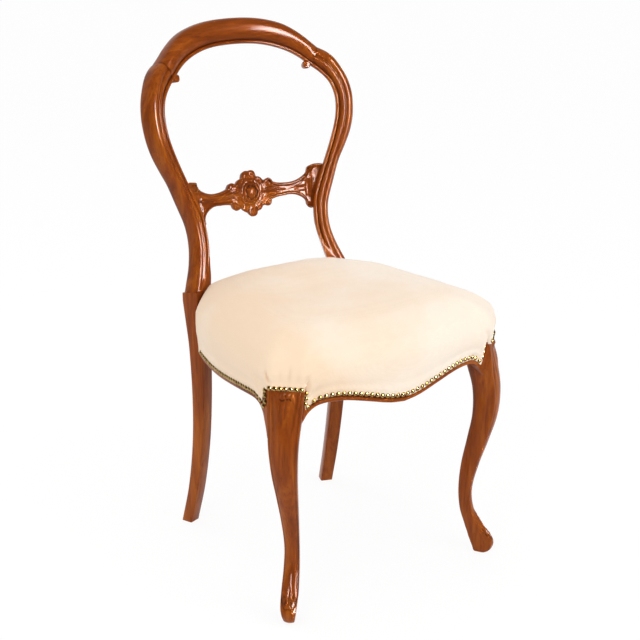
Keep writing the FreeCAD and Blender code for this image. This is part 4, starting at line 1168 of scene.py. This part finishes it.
def foldedCorners(obj):
    mesh = obj.data
    count = len(mesh.vertices)
    flatCo = np.empty(count * 3, dtype=np.float32)
    mesh.vertices.foreach_get("co", flatCo)
    co = flatCo.reshape(-1, 3).astype(float) * 1000
    co[:, 1] -= shiftY
    values = np.zeros(count, dtype=np.float32)
    mesh.attributes["recess"].data.foreach_get("value", values)
    for side in (1, -1):
        out = (side * co[:, 0] - co[:, 1]) / math.sqrt(2)
        across = (side * co[:, 0] + co[:, 1]) / math.sqrt(2) - 17
        here = (out > 225) & (np.abs(across) < 60) & (co[:, 2] > 400) & (co[:, 2] < 455)
        wander = 1.0 if side < 0 else 0.85
        for crease in creases:
            shape = strokeField(across[here] * wander, co[here, 2], crease)
            co[here, 0] += side * crease["rise"] * shape / math.sqrt(2)
            co[here, 1] -= crease["rise"] * shape / math.sqrt(2)
            # painted shade in the creases
            values[here] += crease["dark"] * shape
    # every nail pulls the cloth in a little
    angle = np.arctan2(co[:, 1] + 15, co[:, 0])
    reach = np.hypot(co[:, 0], co[:, 1] + 15)
    lows = np.array([lowEdge(Vector((x, y, 0))) for x, y in co[:, :2]])
    pucker = np.exp(-((co[:, 2] - lows - 8) / 9) ** 2) * np.cos(2 * math.pi * angle * reach / 10.0) * 0.28
    slack = 0.5 * np.sin(co[:, 0] / 31 + 1.3) * np.cos(co[:, 1] / 43 + 0.4)
    slack *= np.clip((co[:, 2] - 405) / 30, 0, 1)
    grow = 1 + (pucker + slack) / np.maximum(reach, 40)
    co[:, 0] *= grow
    co[:, 1] = (co[:, 1] + 15) * grow - 15
    co[:, 1] += shiftY
    mesh.vertices.foreach_set("co", (co / 1000).astype(np.float32).ravel())
    mesh.attributes["recess"].data.foreach_set("value", np.clip(values, 0, 1))
    mesh.update()


postCorner = (166.4, 147.6)


def cutRoundPosts(obj):
    # the cover is tucked round the back posts: what lies inside them moves out to their faces
    corner = Vector((*postCorner, 0))
    for v in obj.data.vertices:
        p = Vector((abs(v.co.x) * 1000, v.co.y * 1000 - shiftY, v.co.z * 1000))
        lean = max(0.0, p.z - 454)
        at = corner + Vector((-0.32, 0.24, 0)) * lean - (legBack - legAcross) * 0.4
        a = (p - at).dot(legAcross)
        b = (p - at).dot(legBack)
        width = 41.5 + 0.8
        if b > 0 and a < width:
            push = -legBack * b if b < width - a else legAcross * (width - a)
            p = p + push
            v.co = toFrame((math.copysign(p.x, v.co.x), p.y, p.z))


def cutAway(obj, unwanted):
    # deletes the points that a test picks out
    only(obj)
    bpy.ops.object.mode_set(mode="EDIT")
    bpy.ops.mesh.select_mode(type="VERT")
    bpy.ops.mesh.select_all(action="DESELECT")
    bpy.ops.object.mode_set(mode="OBJECT")
    for v in obj.data.vertices:
        v.select = unwanted(v)
    bpy.ops.object.mode_set(mode="EDIT")
    bpy.ops.mesh.delete(type="VERT")
    bpy.ops.object.mode_set(mode="OBJECT")


def behindPost(v):
    # what would run inside the corner of the rails
    p = Vector((abs(v.co.x) * 1000 - postCorner[0], v.co.y * 1000 - shiftY - postCorner[1], 0))
    return v.co.z < 0.413 and -1.5 < p.dot(legBack) < 24 and 7 < p.dot(legAcross) < 44


coverPiece, floorCount = seatCover()
blownUp(coverPiece, floorCount)
cutAway(coverPiece, lambda v: v.index < floorCount)
applyModifier(coverPiece, "SUBSURF", levels=1, render_levels=1)
foldedCorners(coverPiece)
cutRoundPosts(coverPiece)
cutAway(coverPiece, behindPost)
applyModifier(coverPiece, "SOLIDIFY", thickness=0.0018, offset=-1.0)
finished(coverPiece, coverCloth, ["seat_cover"], 60)
print("cover draped")

# brass nails
nails = {"radius": 4.4, "height": 3.3, "frontRise": 12.6, "sideRise": 10.2}


def nailHead():
    deselect()
    bpy.ops.mesh.primitive_uv_sphere_add(segments=12, ring_count=8, radius=nails["radius"] / 1000)
    head = bpy.context.object
    bpy.ops.object.mode_set(mode="EDIT")
    bpy.ops.mesh.select_all(action="SELECT")
    bpy.ops.mesh.bisect(plane_co=(0, 0, 0), plane_no=(0, 0, 1), clear_inner=True, use_fill=True)
    bpy.ops.mesh.select_all(action="SELECT")
    bpy.ops.transform.resize(value=(1, 1, nails["height"] / nails["radius"]), center_override=(0, 0, 0))
    bpy.ops.object.mode_set(mode="OBJECT")
    return head


def onCloth(point, out):
    # from outside onto the cover, so that no nail hangs in the air or drowns in the cloth
    start = toFrame(point) + out * 0.03
    hit, spot, normal, face = coverPiece.ray_cast(start, -out, distance=0.05)
    if not hit or normal.dot(out) < 0.5:
        return point, out
    place = (spot - normal * 0.0003) * 1000
    return Vector((place.x, place.y - shiftY, place.z)), (normal + out * 0.4).normalized()


def nailRow(head, name, places):
    # one head copied to every place, joined into one piece
    made = []
    for point, out in [onCloth(*place) for place in places]:
        new = head.copy()
        new.data = head.data.copy()
        bpy.context.collection.objects.link(new)
        new.location = toFrame(point)
        new.rotation_euler = out.to_track_quat("Z", "Y").to_euler()
        made.append(new)
    deselect()
    for o in made:
        o.select_set(True)
    bpy.context.view_layer.objects.active = made[0]
    bpy.ops.object.transform_apply(location=True, rotation=True, scale=True)
    return joinAll(made, name)


def mirroredPlaces(places):
    return [(Vector((-p.x, p.y, p.z)), Vector((-o.x, o.y, o.z))) for p, o in places]


off = cover["thick"] + cover["gap"]
frontPlaces = []
for k in range(36):
    x = -175.0 + 10.0 * k
    slope = 2 * rails["frontBow"] * x / rails["frontEnd"] ** 2
    z = curveAt(rails["frontEdge"], abs(x)) + nails["frontRise"]
    frontPlaces.append((Vector((x, frontFaceY(x) - off, z)), Vector((slope, -1, 0)).normalized()))
sidePlaces = []
for k in range(30):
    s = 3 + k * (sideLength - 24) / 29
    point = sidePoint(s, off, 0)
    ahead = sidePoint(s + 1, off, 0) - point
    point.z = curveAt(rails["sideEdge"], point.y) + nails["sideRise"]
    sidePlaces.append((point, Vector((ahead.y, -ahead.x, 0)).normalized()))
legPlaces = []
diagonal = legPoint(1, 0, 0)
for k in range(7):
    across = (k - 3) * 8.3
    rise = 1.5 * (1 - abs(across) / 28.5)
    legPlaces.append((legPoint(280 + 1.4 + rise, 17 + across, cover["legTop"] + 4.6), diagonal))
for z in (374.5, 384.0, 393.5):
    legPlaces.append((Vector((180.6, frontFaceY(178) - off, z)), Vector((0.25, -1, 0)).normalized()))
    legPlaces.append((Vector((sidePoint(0, off, 0).x, -153.0, z)), Vector((1, -0.2, 0)).normalized()))
backPlaces = [(Vector((10.0 * (k - 13), 163 + 24 + off, 364)), Vector((0, 1, 0))) for k in range(27)]
head = nailHead()
nailRows = [("front_nail_heads", frontPlaces, "front_cover_nails"),
            ("left_nail_heads", sidePlaces, "left_cover_nails"),
            ("right_nail_heads", mirroredPlaces(sidePlaces), "right_cover_nails"),
            ("left_leg_nail_heads", legPlaces, "left_leg_top_nails"),
            ("right_leg_nail_heads", mirroredPlaces(legPlaces), "right_leg_top_nails"),
            ("back_nail_heads", backPlaces, "back_cover_nails")]
for name, places, node in nailRows:
    finished(nailRow(head, name, places), brassLook, [node], 60)
bpy.data.objects.remove(head)
print("nails driven")

# under the cover: stuffing, canvas, webbing and dust cloth
inside = {"canvasZ": 415.6, "stuffingZ": 417.0, "stuffingInset": 4.5, "webWidth": 50.0, "webZ": 368.0,
          "webX": (-70.0, 0.0, 70.0), "webY": (-95.0, -10.0, 75.0), "dustZ": 365.4, "springRadius": 29.0,
          "wire": 1.7}


def sheetRings(half, z, shares, sag):
    # rings of a flat sheet, from its edge to the middle
    loop = fullLoop(half, 6)
    rings = []
    for share in shares:
        drop = sag * (1 - share * share)
        rings.append([Vector((q.x * share, blend(-10, q.y, share),
                              z - drop + 0.25 * math.sin(q.x / 17) * math.sin(q.y / 19) * share))
                      for q in loop])
    return rings


def tackedSheet(name, half, z, sag, look, node):
    # thin cloth with its edge turned in, tacked all round
    rings = [[q + Vector((0, 0, 0.5)) for q in sheetRings(half, z, (0.955,), 0)[0]]]
    rings += sheetRings(half, z, (0.995, 1.0, 0.97, 0.9, 0.75, 0.55, 0.35, 0.15, 0.0), sag)
    piece = wrapped(name, rings, capped=False)
    applyModifier(piece, "SOLIDIFY", thickness=0.0005, offset=0.0)
    finished(piece, look, [node], 60)
    return piece


def sideX(y):
    share = (y - rails["sideFront"][1]) / (rails["sideBack"][1] - rails["sideFront"][1])
    return sidePoint(share * sideLength, 0, 0).x


def strap(along, at, start, end, turn):
    # one web strap, woven over and under the ones that cross it
    width = inside["webWidth"]
    crossings = inside["webY"] if along == "y" else inside["webX"]
    rings = []
    count = 60
    for k in range(count + 1):
        place = blend(start, end, k / count)
        lift = 0.0
        for n, c in enumerate(crossings):
            side = 1 if (n + turn) % 2 else -1
            lift += side * (1 if along == "y" else -1) * (1 - ease(24, 40, abs(place - c)))
        ring = []
        for across, thick in ((-1, -0.6), (-0.4, -0.8), (0.4, -0.8), (1, -0.6), (1, 0.6), (0.4, 0.8),
                              (-0.4, 0.8), (-1, 0.6)):
            u = at + across * width / 2
            q = (u, place) if along == "y" else (place, u)
            ring.append(Vector((q[0], q[1], inside["webZ"] + 0.95 * lift + thick)))
        rings.append(ring)
    return wrapped("strap", rings)


def coiledSpring(x, y):
    # waisted coil between webbing and canvas
    low, high = 372.0, 413.0
    rings = []
    stations = 90
    for k in range(stations + 1):
        share = k / stations
        angle = 2 * math.pi * 3.5 * share
        radial = Vector((math.cos(angle), math.sin(angle), 0))
        radius = (inside["springRadius"] - 1) * (1 - 0.25 * math.sin(math.pi * share))
        middle = Vector((x, y, blend(low, high, share))) + radial * radius
        wire = inside["wire"]
        rings.append([middle + radial * (wire * math.cos(t)) + Vector((0, 0, wire * math.sin(t)))
                      for t in [2 * math.pi * n / 8 for n in range(8)]])
    return wrapped("spring", rings)


jute = wovenCloth("jute webbing", "b48a55", "a47a45", 900.0, 0.9, 0.1, 0.5, 30.0)
canvasCloth = wovenCloth("spring canvas", "b89a6c", "a98a5c", 1100.0, 0.92, 0.1, 0.4, 20.0)
dustCloth = wovenCloth("dust cloth", "1b1a19", "24211f", 1500.0, 0.95, 0.2, 0.3, 20.0)
springLook = plainMetal("spring steel", "3a2f28", "6e6259", 0.45)
stuffingPiece = seatForm("hair_stuffing", inside["stuffingInset"], inside["stuffingZ"])[0]
cutRoundPosts(stuffingPiece)
finished(stuffingPiece, hairFelt("hair stuffing"), ["seat_stuffing"], 60)
canvasHalf = [Vector((0, frontFaceY(0) + 9, 0)), Vector((90, frontFaceY(90) + 9, 0)), Vector((166, -183, 0)),
              Vector((203, -149, 0)), Vector((sideX(0) - 9, 0, 0)), Vector((sideX(120) - 9, 118, 0)),
              Vector((134, 144, 0)), Vector((118, 176, 0)), Vector((0, 176, 0))]
tackedSheet("canvas_over_springs", canvasHalf, inside["canvasZ"], 0.0, canvasCloth, "spring_canvas")
dustHalf = [Vector((x, frontFaceY(x) + 14.5, 0)) for x in (0, 52, 104, 150)]
dustHalf += [Vector((172, -144, 0)), Vector((193, -127, 0))]
dustHalf += [Vector((sideX(y) - 16, y, 0)) for y in (-105, -20, 70, 122)]
dustHalf += [Vector((126, 146, 0)), Vector((110, 173, 0)), Vector((0, 173, 0))]
tackedSheet("dust_cloth_tacked", dustHalf, inside["dustZ"], 2.5, dustCloth,
            "bottom_cloth")
lengthwise = [strap("y", x, frontFaceY(abs(x) + 25) + 12.6, 174.4, n) for n, x in enumerate(inside["webX"])]
crosswise = [strap("x", y, -(sideX(y + 25) - 14.6), sideX(y + 25) - 14.6, n)
             for n, y in enumerate(inside["webY"])]
finished(joinAll(lengthwise, "webbing_lengthwise"), jute, ["webbing_front_to_back"], 30)
finished(joinAll(crosswise, "webbing_crosswise"), jute, ["webbing_side_to_side"], 30)
springPlaces = [(x, y) for y in (-80.0, 70.0) for x in (-70.0, 70.0)]
finished(joinAll([coiledSpring(*place) for place in springPlaces], "coil_springs"), springLook,
         ["seat_springs"], 60)
print("upholstery inside made")

# finishes of the pieces that stay as they were built
beech = rawBeech("raw beech")
screwLook = plainMetal("screw steel", "4b4a48", "8c8a86", 0.38)
keptLooks = {"crest_dowels": beech, "back_seat_rail": walnutAcross, "left_front_corner_block": beech,
             "right_front_corner_block": beech, "left_back_corner_block": beech,
             "right_back_corner_block": beech, "corner_block_screws": screwLook}
for name, look in keptLooks.items():
    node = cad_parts[name]
    if not node.material_slots:
        node.data.materials.append(look)
    for slotEntry in node.material_slots:
        slotEntry.material = look
print("kept pieces finished")

# floor, light and camera
studio = {"ambient": 0.80, "dim": 0.03, "key": 15.0, "fill": 16.0, "rim": 5.0, "glow": 1.03,
          "glowShare": 0.86, "window": 95.0, "windowAt": (0.17, -0.94, 0.27),
          "windowSize": (0.18, 1.0, 0.27), "paper": (-1.3, -0.4)}


def studioFloor():
    deselect()
    bpy.ops.mesh.primitive_plane_add(size=60, location=(0, 0, 0))
    floor = bpy.context.object
    floor.name = "studio_floor"
    material = bpy.data.materials.new("studio floor")
    material.use_nodes = True
    tree = material.node_tree
    tree.nodes.clear()
    out = tree.nodes.new("ShaderNodeOutputMaterial")
    diffuse = addNode(tree, "ShaderNodeBsdfDiffuse", {"Color": (0.88, 0.88, 0.88, 1)})
    glow = addNode(tree, "ShaderNodeEmission", {"Color": (1, 1, 1, 1), "Strength": studio["glow"]})
    rays = addNode(tree, "ShaderNodeLightPath")
    # reflections see the paper too, and the dark room where it ends on the photographer's side
    depth = addNode(tree, "ShaderNodeSeparateXYZ",
                    {0: addNode(tree, "ShaderNodeTexCoord").outputs["Object"]}).outputs["Y"]
    paper = addNode(tree, "ShaderNodeMapRange", {"Value": depth, "From Min": studio["paper"][0],
                                                 "From Max": studio["paper"][1]}).outputs["Result"]
    seen = maths(tree, "MAXIMUM", maths(tree, "MAXIMUM", rays.outputs["Is Camera Ray"],
                                        rays.outputs["Is Transmission Ray"]), rays.outputs["Is Glossy Ray"])
    share = times(tree, seen, studio["glowShare"])
    mixed = addNode(tree, "ShaderNodeMixShader", {0: share, 1: diffuse.outputs[0], 2: glow.outputs[0]})
    night = addNode(tree, "ShaderNodeEmission", {"Color": (1, 1, 1, 1), "Strength": studio["dim"]})
    ends = times(tree, rays.outputs["Is Glossy Ray"], maths(tree, "SUBTRACT", 1.0, paper))
    mixed = addNode(tree, "ShaderNodeMixShader", {0: ends, 1: mixed.outputs[0], 2: night.outputs[0]})
    tree.links.new(mixed.outputs[0], out.inputs["Surface"])
    floor.data.materials.append(material)
    return floor


def softBox(name, place, aim, size, power, colour=(1, 1, 1)):
    deselect()
    bpy.ops.object.light_add(type="AREA", location=place)
    light = bpy.context.object
    light.name = name
    light.data.shape = "RECTANGLE"
    light.data.size, light.data.size_y = size
    light.data.energy = power
    light.data.color = colour
    light.visible_glossy = False   # the window of the world makes the highlights
    light.rotation_euler = (Vector(aim) - Vector(place)).to_track_quat("-Z", "Y").to_euler()
    return light


def studioWorld():
    world = bpy.data.worlds.new("studio")
    bpy.context.scene.world = world
    world.use_nodes = True
    tree = world.node_tree
    tree.nodes.clear()
    out = tree.nodes.new("ShaderNodeOutputWorld")
    plain = addNode(tree, "ShaderNodeBackground", {"Color": (1, 1, 1, 1), "Strength": studio["ambient"]})
    white = addNode(tree, "ShaderNodeBackground", {"Color": (1, 1, 1, 1), "Strength": 1.0})
    rays = addNode(tree, "ShaderNodeLightPath")
    # the white backdrop is behind the chair, reflections of the photographer's side show a dim room
    direction = addNode(tree, "ShaderNodeTexCoord").outputs["Generated"]
    depth = addNode(tree, "ShaderNodeSeparateXYZ", {0: direction}).outputs["Y"]
    behind = addNode(tree, "ShaderNodeMapRange", {"Value": depth, "From Min": 0.1, "From Max": 0.7,
                                                  "To Min": studio["dim"], "To Max": 1.0}).outputs["Result"]
    # one tall window, seen only in reflections
    away = addNode(tree, "ShaderNodeVectorMath", {0: direction, 1: studio["windowAt"]}, operation="SUBTRACT")
    scaled = addNode(tree, "ShaderNodeVectorMath", {0: away.outputs[0], 1: studio["windowSize"]},
                     operation="DIVIDE")
    parted = addNode(tree, "ShaderNodeSeparateXYZ", {0: scaled.outputs[0]})
    wide = maths(tree, "MAXIMUM", maths(tree, "ABSOLUTE", parted.outputs["X"]),
                 maths(tree, "ABSOLUTE", parted.outputs["Z"]))
    inFront = maths(tree, "LESS_THAN", depth, 0.0)
    pane = addNode(tree, "ShaderNodeMapRange", {"Value": wide, "From Min": 0.55, "From Max": 1.15,
                                                "To Min": studio["window"], "To Max": 0.0}).outputs["Result"]
    bright = maths(tree, "ADD", behind, times(tree, pane, inFront))
    room = addNode(tree, "ShaderNodeBackground", {"Color": (1, 1, 1, 1), "Strength": bright})
    seen = maths(tree, "MAXIMUM", rays.outputs["Is Camera Ray"], rays.outputs["Is Transmission Ray"])
    mirrored = addNode(tree, "ShaderNodeMixShader", {0: rays.outputs["Is Glossy Ray"], 1: plain.outputs[0],
                                                     2: room.outputs[0]})
    mixed = addNode(tree, "ShaderNodeMixShader", {0: seen, 1: mirrored.outputs[0], 2: white.outputs[0]})
    tree.links.new(mixed.outputs[0], out.inputs["Surface"])


studioFloor()
studioWorld()
softBox("key", (0.9, -2.1, 1.7), (0, 0, 0.55), (1.6, 1.2), studio["key"])
softBox("fill", (-2.0, -1.3, 1.9), (0, 0, 0.5), (1.0, 1.0), studio["fill"])
softBox("rim", (-0.6, 1.8, 2.2), (0, 0.1, 0.7), (0.8, 0.8), studio["rim"])

deselect()
bpy.ops.object.camera_add(location=(-1.3184, -1.8846, 1.1920))
camera = bpy.context.object
camera.name = "camera"
sight = Vector((-0.01028, -0.0418, 0.4224)) - camera.location
camera.rotation_euler = sight.to_track_quat("-Z", "Y").to_euler()
camera.data.lens = 79.1
camera.data.sensor_width = 36
camera.data.shift_x = -0.00245
camera.data.shift_y = 0.0002
bpy.context.scene.camera = camera
bpy.context.scene.view_settings.view_transform = "Standard"
print("studio ready")
